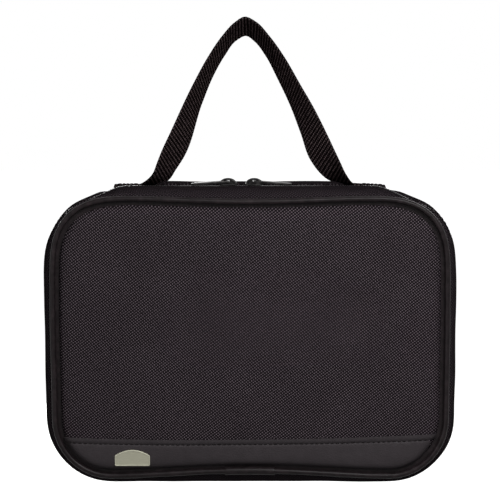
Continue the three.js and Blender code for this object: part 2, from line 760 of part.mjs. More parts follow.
function finish(color, roughness, metalness = 0) {
  return new THREE.MeshStandardMaterial({ color, roughness, metalness });
}

const NYLON = finish(0x2a2628, 0.8);
const LEATHERETTE = finish(0x2b292a, 0.5);
const VINYL = finish(0x302d2d, 0.4);
const WEBBING = finish(0x1c1819, 0.7);
const TAPE = finish(0x1d1a1b, 0.85);
const COIL = finish(0x141313, 0.45);
const LINING = finish(0x3a3838, 0.8);
const BOARD = finish(0x8a8070, 0.9);
const MESH = finish(0x222021, 0.8);
const ELASTIC = finish(0x181717, 0.8);
const BADGE = finish(0xa9a896, 0.35, 1);
const SLIDER = finish(0x2c2b2b, 0.4, 1);

// Assembly

const zipCase = new THREE.Group();

function add(parent, name, geometry, material) {
  const piece = new THREE.Mesh(geometry, material);
  piece.name = name;
  parent.add(piece);
}

// The pieces that both halves have
function addHalf(name, side) {
  add(zipCase, `${name}_gusset`, gusset(side), NYLON);
  add(zipCase, `${name}_piping`, piping(side), VINYL);
  add(zipCase, `${name}_piping_sleeve`, pipingSleeve(side), VINYL);
  add(zipCase, `${name}_binding`, binding(side), TAPE);
  add(zipCase, `${name}_board`, flatPanel(side, BOARD_BACK, BOARD_BACK + BOARD_THICKNESS), BOARD);
  add(zipCase, `${name}_lining`, flatPanel(side, LINING_BACK, LINING_BACK + LINING_THICKNESS), LINING);
  add(zipCase, `zip_tape_${name}`, zipTape(side), TAPE);
  add(zipCase, `zip_coil_${name}`, zipCoil(side), COIL);
}

addHalf('front', FRONT);
addHalf('rear', REAR);
add(zipCase, 'front_panel', cut(crownedPanel(FRONT, 0), belowTrim(TRIM_HEIGHT + GAP)), NYLON);
add(zipCase, 'front_trim', trim(), LEATHERETTE);
add(zipCase, 'badge_plate', badge(), BADGE);
add(zipCase, 'rear_panel', crownedPanel(REAR, 0), NYLON);
add(zipCase, 'hinge_strip', hingeStrip(), NYLON);
add(zipCase, 'zip_stop_left', zipStop(BOTTOM_LEFT, true), SLIDER);
add(zipCase, 'zip_stop_right', zipStop(BOTTOM_RIGHT, false), SLIDER);
add(zipCase, 'mesh_pocket', meshPocket(), MESH);
add(zipCase, 'pocket_binding', pocketBinding(), ELASTIC);
for (const [name, loop] of Object.entries(LOOPS)) add(zipCase, name, elasticLoop(loop), ELASTIC);

// A slider and its pull, with the nose to the middle and the pull lying outwards
function addSlider(name, x, turn) {
  const carriage = new THREE.Group();
  carriage.position.set(x, 0, CASE_HEIGHT);
  carriage.rotation.z = turn;
  add(carriage, `slider_${name}`, slider(), SLIDER);
  add(carriage, `pull_${name}`, pull(), SLIDER);
  zipCase.add(carriage);
}

addSlider('left', LEFT_SLIDER_X, 0);
addSlider('right', RIGHT_SLIDER_X, Math.PI);

add(zipCase, 'handle_end_left', handleEnd(-1), WEBBING);
add(zipCase, 'handle_end_right', handleEnd(1), WEBBING);
add(zipCase, 'handle_strap', handleStrap(), WEBBING);

export default zipCase;
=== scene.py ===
from math import atan2, copysign, cos, hypot, pi, radians, sin

import bmesh
import bpy
import numpy as np
from mathutils import Matrix, Vector, noise


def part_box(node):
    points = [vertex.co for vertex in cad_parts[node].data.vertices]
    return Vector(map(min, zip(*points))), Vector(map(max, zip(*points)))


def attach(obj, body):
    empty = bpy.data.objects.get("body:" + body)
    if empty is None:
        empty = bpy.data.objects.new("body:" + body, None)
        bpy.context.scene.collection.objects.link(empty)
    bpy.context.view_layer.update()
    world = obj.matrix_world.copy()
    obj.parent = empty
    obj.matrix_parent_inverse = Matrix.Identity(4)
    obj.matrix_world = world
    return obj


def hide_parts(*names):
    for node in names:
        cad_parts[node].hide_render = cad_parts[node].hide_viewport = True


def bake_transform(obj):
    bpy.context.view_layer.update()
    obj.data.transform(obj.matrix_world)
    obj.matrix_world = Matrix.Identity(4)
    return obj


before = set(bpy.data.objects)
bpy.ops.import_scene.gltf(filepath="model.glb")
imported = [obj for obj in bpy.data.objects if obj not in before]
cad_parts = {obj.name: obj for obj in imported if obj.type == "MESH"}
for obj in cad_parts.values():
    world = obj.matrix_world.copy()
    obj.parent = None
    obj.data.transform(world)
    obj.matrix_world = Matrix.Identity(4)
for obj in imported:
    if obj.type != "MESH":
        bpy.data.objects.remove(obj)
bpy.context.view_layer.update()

# The studio
# A seamless white floor and surround with four large soft boxes, and a long lens a little above the
# middle of the case. The case hangs well over the floor, so that its lid has room to swing right down.

MM = 0.001
FLOOR_LEVEL = -200 * MM
FLOOR_SIZE = 9
SURROUND_LIGHT = 0.09
LAMP_AIM = Vector((0, 0, 0.1))
LENS_MIDDLE = Vector((0, 0, 133.9 * MM))
LENS_DISTANCE = 2.5
LENS_RISE = radians(5.9)
LENS_LENGTH = 305.3
# The place, the size and the power of each
SOFT_BOXES = {
    "key_box": ((0.22, -0.62, 0.52), 0.35, 8.4),
    "fill_box": ((-1.5, -1.7, 0.35), 1.2, 15),
    "back_box": ((0.7, 1.3, 0.9), 0.7, 6),
    "rear_box": ((-0.4, 1.7, -0.05), 0.7, 16),
}


def add_node(owner, kind, **inputs):
    node = owner.node_tree.nodes.new("ShaderNode" + kind)
    for key, value in inputs.items():
        node.inputs[key].default_value = value
    return node


def wire(owner, source, target):
    owner.node_tree.links.new(source, target)


# One step of arithmetic, each of its terms a number or the output of another node
def reckon(owner, operation, *terms):
    step = add_node(owner, "Math")
    step.operation = operation
    for socket, term in zip(step.inputs, terms):
        if isinstance(term, (int, float)):
            socket.default_value = term
        else:
            wire(owner, term, socket)
    return step.outputs[0]


# Where a ray meets the background itself, either straight from the lens or by way of a shiny or clear piece
def background_seen(owner):
    path = add_node(owner, "LightPath").outputs
    seen = reckon(owner, "MAXIMUM", path["Is Camera Ray"], path["Is Glossy Ray"])
    return reckon(owner, "MAXIMUM", seen, path["Is Transmission Ray"])


def shader_input(finish, name):
    return finish.node_tree.nodes["Principled BSDF"].inputs[name]


def new_finish(name, roughness, specular=0.5, metallic=0.0):
    finish = bpy.data.materials.new(name)
    finish.use_nodes = True
    for key, value in (("Roughness", roughness), ("Specular IOR Level", specular), ("Metallic", metallic)):
        shader_input(finish, key).default_value = value
    return finish


# Selects one piece alone, as the one to work on
def take(piece):
    bpy.ops.object.select_all(action="DESELECT")
    piece.select_set(True)
    bpy.context.view_layer.objects.active = piece


# Brings a new shape, lamp or lens into the scene
def put(name, data):
    piece = bpy.data.objects.new(name, data)
    bpy.context.scene.collection.objects.link(piece)
    take(piece)
    return piece


def put_mesh(name, points, edges, faces):
    mesh = bpy.data.meshes.new(name)
    mesh.from_pydata(points, edges, faces)
    return put(name, mesh)


surround = bpy.data.worlds.new("studio_surround")
surround.use_nodes = True
bpy.context.scene.world = surround
white = surround.node_tree.nodes["Background"]
soft = add_node(surround, "Background")
for ground, strength in ((white, 1), (soft, SURROUND_LIGHT)):
    ground.inputs["Color"].default_value = (1, 1, 1, 1)
    ground.inputs["Strength"].default_value = strength
either = add_node(surround, "MixShader")
wire(surround, background_seen(surround), either.inputs["Fac"])
wire(surround, soft.outputs[0], either.inputs[1])
wire(surround, white.outputs[0], either.inputs[2])
wire(surround, either.outputs[0], surround.node_tree.nodes["World Output"].inputs["Surface"])

bpy.ops.mesh.primitive_plane_add(size=FLOOR_SIZE, location=(0, 0, FLOOR_LEVEL))
floor = bpy.context.object
floor.name = "studio_floor"
paper = new_finish("white_paper", roughness=0.9, specular=0.1)
shader_input(paper, "Base Color").default_value = (0.3, 0.3, 0.3, 1)
shader_input(paper, "Emission Color").default_value = (1, 1, 1, 1)
spread = add_node(paper, "TexGradient")
spread.gradient_type = "SPHERICAL"
wire(paper, add_node(paper, "TexCoord").outputs["Object"], spread.inputs["Vector"])
bright = add_node(paper, "MapRange", **{"To Min": 1, "To Max": 0.45})
wire(paper, spread.outputs["Fac"], bright.inputs["Value"])
lift = reckon(paper, "MULTIPLY", background_seen(paper), bright.outputs["Result"])
wire(paper, lift, shader_input(paper, "Emission Strength"))
floor.data.materials.append(paper)

for name, (place, size, power) in SOFT_BOXES.items():
    lamp = bpy.data.lights.new(name, "AREA")
    lamp.energy = power
    lamp.size = size
    stand = put(name, lamp)
    stand.location = place
    stand.rotation_euler = (LAMP_AIM - Vector(place)).to_track_quat("-Z", "Y").to_euler()

lens = bpy.data.cameras.new("lens")
lens.sensor_width = 36
lens.lens = LENS_LENGTH
lens.clip_end = 20
viewer = put("viewer", lens)
viewer.location = LENS_MIDDLE + LENS_DISTANCE * Vector((0, -cos(LENS_RISE), sin(LENS_RISE)))
viewer.rotation_euler = (LENS_MIDDLE - viewer.location).to_track_quat("-Z", "Y").to_euler()
bpy.context.scene.camera = viewer
bpy.context.scene.view_settings.view_transform = "Standard"

# Gussets
# The rounded walls of the two halves, of the same coarse black nylon as the panels, coloured at about half
# their brightness: partly a darker black of the gusset's own, partly painted shade for the case's top and
# sides. Each is a strip, sewn to the zip tape under a folded edge and rolled over into the piping seam at its
# outer side.

CASE_WIDTH = 241 * MM
CASE_HEIGHT = 172.5 * MM
TOP_CORNER = 49 * MM
BOTTOM_CORNER = 39 * MM
# The middles of the corners' curves, and how far along the outline its sides, its upper corners and its top
# start, counted from the middle of the bottom to the middle of the top
LOW_X, LOW_Z = CASE_WIDTH / 2 - BOTTOM_CORNER, BOTTOM_CORNER
TOP_X, TOP_Z = CASE_WIDTH / 2 - TOP_CORNER, CASE_HEIGHT - TOP_CORNER
SIDE_START = LOW_X + BOTTOM_CORNER * pi / 2
TURN_START = SIDE_START + TOP_Z - LOW_Z
TOP_START = TURN_START + TOP_CORNER * pi / 2
HALF_WAY = TOP_START + TOP_X
GUSSET_FLAT = 24 * MM
GUSSET_ROLL = 10 * MM
GUSSET_BULGE = 3.3 * MM
GUSSET_THICKNESS = 1.6 * MM
ZIP_EDGE = 7 * MM
ROLL_STEPS = 6
# Over what distance from the seam the pull of the seams dies away
PULL_NEAR = 12 * MM
PULL_FAR = 40 * MM
# How far the shoulders sink, within an angle of the top, and the angle beyond which the corners fill out
SLUMP = 2.3 * MM
SLUMP_TURN = radians(50)
FILL_TURN = radians(30)
NYLON_CELL = (1.025 * MM, 0.9 * MM)
NYLON_TURN = radians(5.6)
NYLON_SHADES = ((0.0, 0.005), (0.3, 0.0145), (0.6, 0.048), (1.0, 0.138))
NYLON_TINT = (1.0, 0.8, 0.92)
# The panel nylon's tones at 0.54: partly a darker black, partly painted shade on the top and sides of the
# case
GUSSET_TONES_WITH_PAINTED_SHADE = tuple((place, 0.54 * grey) for place, grey in NYLON_SHADES)
FRONT = -1
REAR = 1
HALVES = ((FRONT, "front", "lid"), (REAR, "rear", "rear_half"))


# Gives the piece just added its name and size, and settles it where it lies
def settle(name, size):
    piece = bpy.context.object
    piece.name = name
    piece.scale = size
    bpy.ops.object.transform_apply()
    return piece


def select_whole():
    bpy.ops.mesh.select_all(action="SELECT")


def delete(kind):
    bpy.ops.mesh.delete(type=kind)


def subdivide(cuts):
    bpy.ops.mesh.subdivide(number_cuts=cuts)


# Insets the selected face, and raises what is left of it
def inset(thickness, depth=0):
    bpy.ops.mesh.inset(thickness=thickness, depth=depth)


def edit(piece):
    take(piece)
    bpy.ops.object.mode_set(mode="EDIT")
    select_whole()


# Leaves edit mode, if asked with every face turned outwards
def leave(outwards=False):
    if outwards:
        select_whole()
        bpy.ops.mesh.normals_make_consistent(inside=False)
    bpy.ops.object.mode_set(mode="OBJECT")


# Selects the verts, edges or faces that pass a test
def pick(piece, kind, test):
    bpy.ops.mesh.select_mode(type=kind[:-1].upper())
    shape = bmesh.from_edit_mesh(piece.data)
    for elements in (shape.verts, shape.edges, shape.faces):
        for element in elements:
            element.select = False
    for element in getattr(shape, kind):
        if test(element):
            element.select = True
    shape.select_flush_mode()
    bmesh.update_edit_mesh(piece.data)


def middle(element):
    return sum((v.co for v in element.verts), Vector()) / len(element.verts)


# Extrudes what is selected, in a number of equal steps
def draw_out(way, steps=1):
    for _ in range(steps):
        bpy.ops.mesh.extrude_region_move(TRANSFORM_OT_translate={"value": tuple(v / steps for v in way)})


# A flat face with the case's outline, grown by level, in edit mode with all of it selected
def outline_face(name, y, level, facing):
    turn = (-facing * pi / 2, 0, 0)
    bpy.ops.mesh.primitive_plane_add(
        size=1, calc_uvs=False, location=(0, y, CASE_HEIGHT / 2), rotation=turn
    )
    piece = settle(name, (CASE_WIDTH + 2 * level, CASE_HEIGHT + 2 * level, 1))
    edit(piece)
    for edge, radius, steps in (
        (CASE_HEIGHT + level, TOP_CORNER + level, 12),
        (-level, BOTTOM_CORNER + level, 10),
    ):
        pick(piece, "verts", lambda v: abs(v.co.z - edge) < 1e-6)
        bpy.ops.mesh.bevel(
            offset_type="OFFSET", offset=radius, segments=steps, affect="VERTICES", clamp_overlap=False
        )
    for cuts, test in (
        (23, lambda e: middle(e).z > CASE_HEIGHT + level - 1e-5),
        (25, lambda e: middle(e).z < -level + 1e-5),
        (13, lambda e: middle(e).x > CASE_WIDTH / 2 + level - 1e-6),
        (13, lambda e: middle(e).x < -CASE_WIDTH / 2 - level + 1e-6),
    ):
        pick(piece, "edges", test)
        subdivide(cuts)
    bpy.ops.mesh.select_mode(type="FACE")
    select_whole()
    return piece


# What a mesh keeps under a key for each of its points, corners or faces
def read(elements, key, kind=np.int32, width=1):
    values = np.empty(len(elements) * width, dtype=kind)
    elements.foreach_get(key, values)
    return values


def points_of(piece):
    return read(piece.data.vertices, "co", float, 3).reshape(-1, 3)


def normals_of(piece):
    return read(piece.data.vertices, "normal", float, 3).reshape(-1, 3)


def set_points(piece, points):
    piece.data.vertices.foreach_set("co", np.ascontiguousarray(points).ravel())
    piece.data.update()


# For points of the XZ plane: the outward direction of the nearest outline point, how far inside the outline
# they lie, and how far along it from the middle of the bottom
def along_outline(x, z):
    side = np.where(x < 0, -1.0, 1.0)
    over = abs(x)
    to_side = CASE_WIDTH / 2 - over
    to_top = CASE_HEIGHT - z
    in_top = (over > TOP_X) & (z > TOP_Z)
    in_low = (over > LOW_X) & (z < LOW_Z)
    on_top = ~in_top & (to_top <= np.minimum(to_side, z))
    on_low = ~in_low & ~on_top & (z <= to_side)
    cases = [in_top, in_low, on_top, on_low]
    angle_top = np.arctan2(z - TOP_Z, over - TOP_X)
    angle_low = np.arctan2(LOW_Z - z, over - LOW_X)
    nx = side * np.select(cases, [np.cos(angle_top), np.cos(angle_low), 0 * x, 0 * x], 1)
    nz = np.select(cases, [np.sin(angle_top), -np.sin(angle_low), 1 + 0 * x, -1 + 0 * x], 0)
    from_top = TOP_CORNER - np.hypot(over - TOP_X, z - TOP_Z)
    from_low = BOTTOM_CORNER - np.hypot(over - LOW_X, z - LOW_Z)
    inside = np.select(cases, [from_top, from_low, to_top, z], to_side)
    run_top = TURN_START + TOP_CORNER * angle_top
    run_low = LOW_X + BOTTOM_CORNER * (pi / 2 - angle_low)
    run = np.select(cases, [run_top, run_low, HALF_WAY - over, over], SIDE_START + z - LOW_Z)
    return nx, nz, inside, side * run


def smooth_share(t):
    t = np.clip(t, 0, 1)
    return t * t * (3 - 2 * t)


def shoulder_slump(nz):
    turn = np.arccos(np.clip(nz, -1, 1))
    return np.where(turn < SLUMP_TURN, SLUMP * np.sin(pi * turn / SLUMP_TURN) ** 2, 0)


def corner_fill(nx, nz):
    turn = np.arccos(np.clip(nz, -1, 1))
    inside = (turn > FILL_TURN) & (turn < pi / 2)
    swell_by = np.where(nx < 0, 1.1, 1.9) * MM
    return np.where(inside, swell_by * np.sin(3 * (turn - FILL_TURN)) ** 2, 0)


# How far the rear gusset is pressed in under the sewn ends of the handle
def tab_sink(x, y):
    deep = np.where(x < 0, 3.0, 2.2) * MM
    reach = smooth_share((abs(x) - 50 * MM) / (10 * MM)) * smooth_share((91 * MM - abs(x)) / (10 * MM))
    return deep * reach * smooth_share((y - 2 * MM) / (5 * MM)) * smooth_share((37 * MM - y) / (9 * MM))


# The sewn outline isn't a perfect one: the long seams are drawn in between the corners, the front seam fills
# out at its top corners, and the shoulders sink under the pull of the handle
def pull_into_shape(piece):
    points = points_of(piece)
    x, y, z = points.T
    nx, nz, inside, _ = along_outline(x, z)
    sewn = np.clip((abs(y) - GUSSET_FLAT) / GUSSET_ROLL, 0, 1) ** 2
    off_top = np.clip(x / TOP_X, -1, 1)
    off_low = np.clip(x / LOW_X, -1, 1)
    drawn = 0.5 * MM * nx * nx
    drawn += np.where(nz > 0.999, 1.7 * MM * (1 - off_top**2) ** 2, 0)
    drawn += np.where(nz < -0.999, 3.0 * MM * (1 - off_low**2) ** 2, 0)
    slump = shoulder_slump(nz)
    fill = np.where(nz > 0, 4.2 * MM * (2 * nx * nz) ** 2, 0)
    front = fill * sewn - slump * (1 - sewn)
    offset = np.where(y < 0, front, -slump) - drawn * sewn + corner_fill(nx, nz) * (1 - sewn)
    offset *= smooth_share((PULL_FAR - inside) / (PULL_FAR - PULL_NEAR))
    # Low down, the weight of the padding makes the sides lean in a little
    low = smooth_share((105 * MM - z) / (70 * MM))
    offset -= np.where(x < 0, 1.1, 0.6) * MM * nx * nx * low
    points[:, 0] += nx * offset
    points[:, 2] += nz * offset
    set_points(piece, points)


def set_cloth_way(mesh, ways):
    layer = mesh.uv_layers.new(name="cloth_way")
    layer.data.foreach_set("uv", ways.astype(np.float32).ravel())


# A UV map in metres: the first way runs along the case's outline, the second through its depth
def map_round(piece):
    points = points_of(piece)
    _, _, fall, run = along_outline(points[:, 0], points[:, 2])
    over = np.clip(fall, 0, None)
    depth = points[:, 1] + np.sign(points[:, 1]) * over * over / (GUSSET_BULGE + over)
    corners = read(piece.data.loops, "vertex_index")
    starts = read(piece.data.polygons, "loop_start")
    sizes = read(piece.data.polygons, "loop_total")
    u = run[corners]
    low = np.repeat(np.minimum.reduceat(u, starts), sizes)
    high = np.repeat(np.maximum.reduceat(u, starts), sizes)
    u = np.where((high - low > HALF_WAY) & (u < 0), u + 2 * HALF_WAY, u)
    set_cloth_way(piece.data, np.stack([u, depth[corners]], axis=1))


# Two coordinates of the piece in metres, from its own place or, for U and V, from its UV map
def cloth_ways(finish, first="X", second="Z"):
    source = "Object"
    if first == "U":
        source, first, second = "UV", "X", "Y"
    apart = add_node(finish, "SeparateXYZ")
    wire(finish, add_node(finish, "TexCoord").outputs[source], apart.inputs[0])
    return apart.outputs[first], apart.outputs[second]


def clouds(finish, size, detail=2.0):
    cloud = add_node(finish, "TexNoise", Scale=1 / size, Detail=detail)
    wire(finish, add_node(finish, "TexCoord").outputs["Object"], cloud.inputs["Vector"])
    return cloud.outputs["Fac"]


def wave(finish, way, pitch):
    return reckon(finish, "SINE", reckon(finish, "MULTIPLY", way, 2 * pi / pitch))


def ribs(finish, way, pitch):
    return reckon(finish, "ABSOLUTE", wave(finish, way, 2 * pitch))


# Colours along a factor, each stop a place and either a grey or a colour, under one tint
def shade(finish, factor, stops, tint=(1, 1, 1)):
    ramp = add_node(finish, "ValToRGB")
    while len(ramp.color_ramp.elements) < len(stops):
        ramp.color_ramp.elements.new(0.5)
    for element, (place, colour) in zip(ramp.color_ramp.elements, stops):
        element.position = place
        element.color = (*np.multiply(colour, tint), 1)
    wire(finish, factor, ramp.inputs["Fac"])
    wire(finish, ramp.outputs["Color"], shader_input(finish, "Base Color"))


def roughen(finish, factor, gain, least):
    wire(finish, reckon(finish, "MULTIPLY_ADD", factor, gain, least), shader_input(finish, "Roughness"))


def emboss(finish, height, depth, strength=1.0):
    bump = add_node(finish, "Bump", Distance=depth, Strength=strength)
    wire(finish, height, bump.inputs["Height"])
    wire(finish, bump.outputs["Normal"], shader_input(finish, "Normal"))


# Coarse basket weave, a little off the square: two yarns lie together over two others, each pair floats over
# one cell in turn, and the floats that slant the same way catch more of the light. That light is painted into
# the colour: the crowns of the yarns carry a painted highlight, the gaps between them painted shade, and the
# floats that slant the same way are painted lighter still
def nylon(name, ways, shades=NYLON_SHADES, relief=0.2 * MM):
    finish = new_finish(name, roughness=0.6, specular=0)
    work = lambda operation, *terms: reckon(finish, operation, *terms)
    first, second = cloth_ways(finish, *ways)
    drift = work("MULTIPLY", clouds(finish, 16 * MM), 0.7 * MM)
    sine, cosine = sin(NYLON_TURN), cos(NYLON_TURN)
    turned_u = work("MULTIPLY_ADD", second, -sine, work("MULTIPLY_ADD", first, cosine, drift))
    turned_v = work("MULTIPLY_ADD", second, cosine, work("MULTIPLY_ADD", first, sine, drift))
    # The sum keeps the count of cells above zero over the whole case
    across = work("ADD", work("DIVIDE", turned_u, NYLON_CELL[0]), 1000)
    along = work("ADD", work("DIVIDE", turned_v, NYLON_CELL[1]), 1000)
    in_across = work("FRACT", across)
    in_along = work("FRACT", along)
    weft = work("MODULO", work("ADD", work("FLOOR", across), work("FLOOR", along)), 2)
    heights = []
    for length, width in ((in_along, in_across), (in_across, in_along)):
        dome = work("POWER", wave(finish, length, 2), 0.7)
        yarn = work("MULTIPLY_ADD", ribs(finish, width, 0.5), 0.35, 0.65)
        edge = work("POWER", wave(finish, width, 2), 0.4)
        heights.append(work("MULTIPLY", work("MULTIPLY", dome, edge), yarn))
    over = work("SUBTRACT", heights[1], heights[0])
    height = work("MULTIPLY_ADD", over, weft, heights[0])
    slant = work("COSINE", work("MULTIPLY", work("SUBTRACT", across, along), pi))
    painted_catchlight = work("MULTIPLY_ADD", weft, 0.62, work("MULTIPLY_ADD", slant, -0.16, 0.22))
    patchy = work("MULTIPLY_ADD", clouds(finish, 30 * MM, 4), 0.24, 0.88)
    # Base colour: the weave's height times the painted catchlight, so painted highlight on the yarn crowns
    # and painted shade in the gaps; the patchy clouds are an uneven tone of the cloth
    shade(finish, work("MULTIPLY", work("MULTIPLY", height, painted_catchlight), patchy), shades, NYLON_TINT)
    emboss(finish, height, relief)
    return finish


def close_modifier(piece, kind, **settings):
    modifier = piece.modifiers.new(kind.lower(), kind)
    for key, value in settings.items():
        setattr(modifier, key, value)
    bpy.context.view_layer.objects.active = piece
    bpy.ops.object.modifier_apply(modifier=modifier.name)


def divide(piece, levels):
    close_modifier(piece, "SUBSURF", levels=levels, render_levels=levels)


# Rounds the edges that turn by more than an angle
def round_edges(piece, width, angle, steps=3):
    limit = radians(angle)
    close_modifier(piece, "BEVEL", width=width, segments=steps, limit_method="ANGLE", angle_limit=limit)


def smooth_finish(piece, finish, slot, body, *nodes, angle=40):
    take(piece)
    bpy.ops.object.shade_smooth_by_angle(angle=radians(angle))
    piece.data.materials.clear()
    piece.data.materials.append(finish)
    if nodes:
        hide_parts(*nodes)
    if body:
        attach(piece, body)


# Soft unevenness: every point moves along its own normal by a smooth random amount, which can grow from none
# at one depth of the case to all of it at another
def ruffle(piece, size, amount, none_at=None, all_at=None):
    points = points_of(piece)
    moves = np.array([noise.noise(Vector(p) / size) for p in points]) * amount
    if none_at is not None:
        moves *= np.clip((abs(points[:, 1]) - none_at) / (all_at - none_at), 0, 1)
    set_points(piece, points + normals_of(piece) * moves[:, None])


gusset_nylon = nylon("gusset_nylon", ("U", "V"), shades=GUSSET_TONES_WITH_PAINTED_SHADE, relief=0.07 * MM)
walls = {}
for facing, half, body in HALVES:
    wall = outline_face(half + "_gusset_cloth", facing * ZIP_EDGE, 0, facing)
    draw_out((0, facing * (GUSSET_FLAT - ZIP_EDGE), 0), steps=3)
    for i in range(ROLL_STEPS):
        now, then = (pi / 2 * k / ROLL_STEPS for k in (i, i + 1))
        fall = GUSSET_BULGE * (cos(now) - cos(then))
        out = GUSSET_ROLL * (sin(then) - sin(now))
        inset(fall, out)
    inset(1.6 * MM, -0.4 * MM)
    delete("FACE")
    pick(wall, "faces", lambda f: abs(f.normal.y) > 0.99 and abs(abs(middle(f).y) - ZIP_EDGE) < 1e-6)
    delete("ONLY_FACE")
    leave()
    divide(wall, 1)
    map_round(wall)
    pull_into_shape(wall)
    if facing == REAR:
        points = points_of(wall)
        upper = points[:, 2] > CASE_HEIGHT / 2
        points[:, 2] -= np.where(upper, tab_sink(points[:, 0], points[:, 1]), 0)
        set_points(wall, points)
    ruffle(wall, 26 * MM, 0.5 * MM, none_at=34 * MM, all_at=26 * MM)
    ruffle(wall, 5 * MM, 0.22 * MM, none_at=28 * MM, all_at=33 * MM)
    close_modifier(wall, "SOLIDIFY", thickness=GUSSET_THICKNESS, offset=-1, use_even_offset=True)
    smooth_finish(wall, gusset_nylon, "nylon", body, half + "_gusset")
    walls[half] = wall

# Piping
# A cord in glossy black vinyl, sewn between gusset and panel right round each face, with its flat flange
# turned in behind the panel. A short sleeve of the same vinyl covers the join at the middle of the bottom.

PIPING_DEPTH = 36 * MM
PIPING_LEVEL = -5 * MM
PIPING_RADIUS = 1.62 * MM
FLANGE_DEPTH = 32.9 * MM
FLANGE_WIDTH = 6 * MM
SLEEVE_HALF = 14.5 * MM
SLEEVE_RADIUS = 2.3 * MM

vinyl = new_finish("piping_vinyl", roughness=0.36, specular=0.08)
scuff = clouds(vinyl, 3 * MM, 4)
shade(vinyl, scuff, ((0.3, 0.004), (0.55, 0.008), (0.8, 0.016)), (1, 0.72, 0.8))
roughen(vinyl, scuff, 0.25, 0.26)
emboss(vinyl, clouds(vinyl, 0.7 * MM, 2), 0.08 * MM, 0.6)


# A round tube along the case's outline, at the depth and level of the piping, where the test keeps it
def outline_tube(name, facing, radius, keep=None):
    tube = outline_face(name, facing * PIPING_DEPTH, PIPING_LEVEL, facing)
    delete("ONLY_FACE")
    bpy.ops.mesh.select_mode(type="EDGE")
    select_whole()
    bpy.ops.mesh.subdivide(number_cuts=2, smoothness=0)
    if keep is not None:
        pick(tube, "verts", lambda v: not keep(v.co))
        delete("VERT")
    leave()
    pull_into_shape(tube)
    bpy.ops.object.convert(target="CURVE")
    tube = bpy.context.object
    tube.data.bevel_depth = radius
    tube.data.bevel_resolution = 4
    tube.data.use_fill_caps = True
    bpy.ops.object.convert(target="MESH")
    tube = bpy.context.object
    edit(tube)
    bpy.ops.mesh.remove_doubles(threshold=1e-6)
    leave(outwards=True)
    return tube


for facing, half, body in HALVES:
    cord = outline_tube(half + "_piping_cord", facing, PIPING_RADIUS)
    ruffle(cord, 9 * MM, 0.16 * MM)
    flange = outline_face(half + "_piping_flange", facing * FLANGE_DEPTH, PIPING_LEVEL + 1 * MM, facing)
    inset(FLANGE_WIDTH)
    delete("FACE")
    leave()
    pull_into_shape(flange)
    close_modifier(flange, "SOLIDIFY", thickness=0.5 * MM, offset=0)
    take(cord)
    flange.select_set(True)
    bpy.ops.object.join()
    smooth_finish(cord, vinyl, "vinyl", body, half + "_piping")

    at_join = lambda co: co.z < 30 * MM and abs(co.x) < SLEEVE_HALF + 2 * MM
    sleeve = outline_tube(half + "_piping_cover", facing, SLEEVE_RADIUS, at_join)
    points = points_of(sleeve)
    points[:, 0] = np.clip(points[:, 0], -SLEEVE_HALF, SLEEVE_HALF)
    set_points(sleeve, points)
    round_edges(sleeve, 0.35 * MM, 50)
    smooth_finish(sleeve, vinyl, "vinyl", body, half + "_piping_sleeve")

# Padded panels
# The two faces of the case: coarse black nylon over foam, stretched on a stiff board and sewn into the piping
# all round, so that each is fullest in the middle and falls away quickly at its rim.

PANEL_LEVEL = -8.8 * MM
PANEL_BACK = 32 * MM
PANEL_RIM = 32.8 * MM
PANEL_ROLL = ((0.35, 1.5), (0.6, 1.3), (1.0, 1.1), (1.8, 0.95), (3.5, 0.75), (7.0, 0.4), (8.0, 0.15))
PANEL_SWELL = 1.6 * MM
FOAM_STEPS = 20
FOAM_PRESSURE = {
    "quality": 6,
    "mass": 0.25,
    "tension_stiffness": 12,
    "compression_stiffness": 12,
    "shear_stiffness": 4,
    "bending_stiffness": 0.6,
    "vertex_group_mass": "sewn",
    "use_pressure": True,
    "uniform_pressure_force": 4,
}


# A closed pad with the case's outline: a side wall, a rolled rim, and a face of even quads
def pad(name, facing, back, rim, level, roll):
    piece = outline_face(name, facing * back, level, facing)
    draw_out((0, facing * (rim - back), 0))
    for thickness, depth in roll:
        inset(thickness * MM, depth * MM)
    delete("ONLY_FACE")
    face = facing * (rim + sum(d for _, d in roll) * MM)
    lies_at = lambda e, y: all(abs(v.co.y - y) < 1e-6 for v in e.verts)
    pick(piece, "edges", lambda e: lies_at(e, face))
    bpy.ops.mesh.select_mode(type="VERT")
    shape = bmesh.from_edit_mesh(piece.data)
    start = max((v for v in shape.verts if v.select), key=lambda v: v.co.z - v.co.x)
    shape.select_history.clear()
    shape.select_history.add(start)
    bmesh.update_edit_mesh(piece.data)
    bpy.ops.mesh.fill_grid(span=36, offset=0)
    pick(piece, "edges", lambda e: lies_at(e, facing * back))
    bpy.ops.mesh.edge_face_add()
    leave(outwards=True)
    return piece


# The foam presses the cloth out: a cloth simulation under pressure, sewn down along the rim
def swell(piece, face, cap):
    before = points_of(piece)
    _, _, inside, _ = along_outline(before[:, 0], before[:, 2])
    at_back = abs(before[:, 1]) < face - 6 * MM
    held = np.where(at_back, 1, 1 - np.clip((inside - 9 * MM) / (16 * MM), 0, 1))
    sewn = piece.vertex_groups.new(name="sewn")
    for i, weight in enumerate(held):
        sewn.add([i], float(weight), "REPLACE")
    cloth = piece.modifiers.new("foam", "CLOTH")
    for key, value in FOAM_PRESSURE.items():
        setattr(cloth.settings, key, value)
    cloth.settings.effector_weights.gravity = 0
    cloth.point_cache.frame_start = 1
    cloth.point_cache.frame_end = FOAM_STEPS
    for step in range(1, FOAM_STEPS + 1):
        bpy.context.scene.frame_set(step)
    bpy.context.view_layer.objects.active = piece
    bpy.ops.object.modifier_apply(modifier="foam")
    bpy.context.scene.frame_set(1)
    moves = points_of(piece) - before
    length = np.linalg.norm(moves, axis=1, keepdims=True)
    set_points(piece, before + moves * (cap * np.tanh(length / cap) / np.maximum(length, 1e-9)))
    piece.vertex_groups.clear()


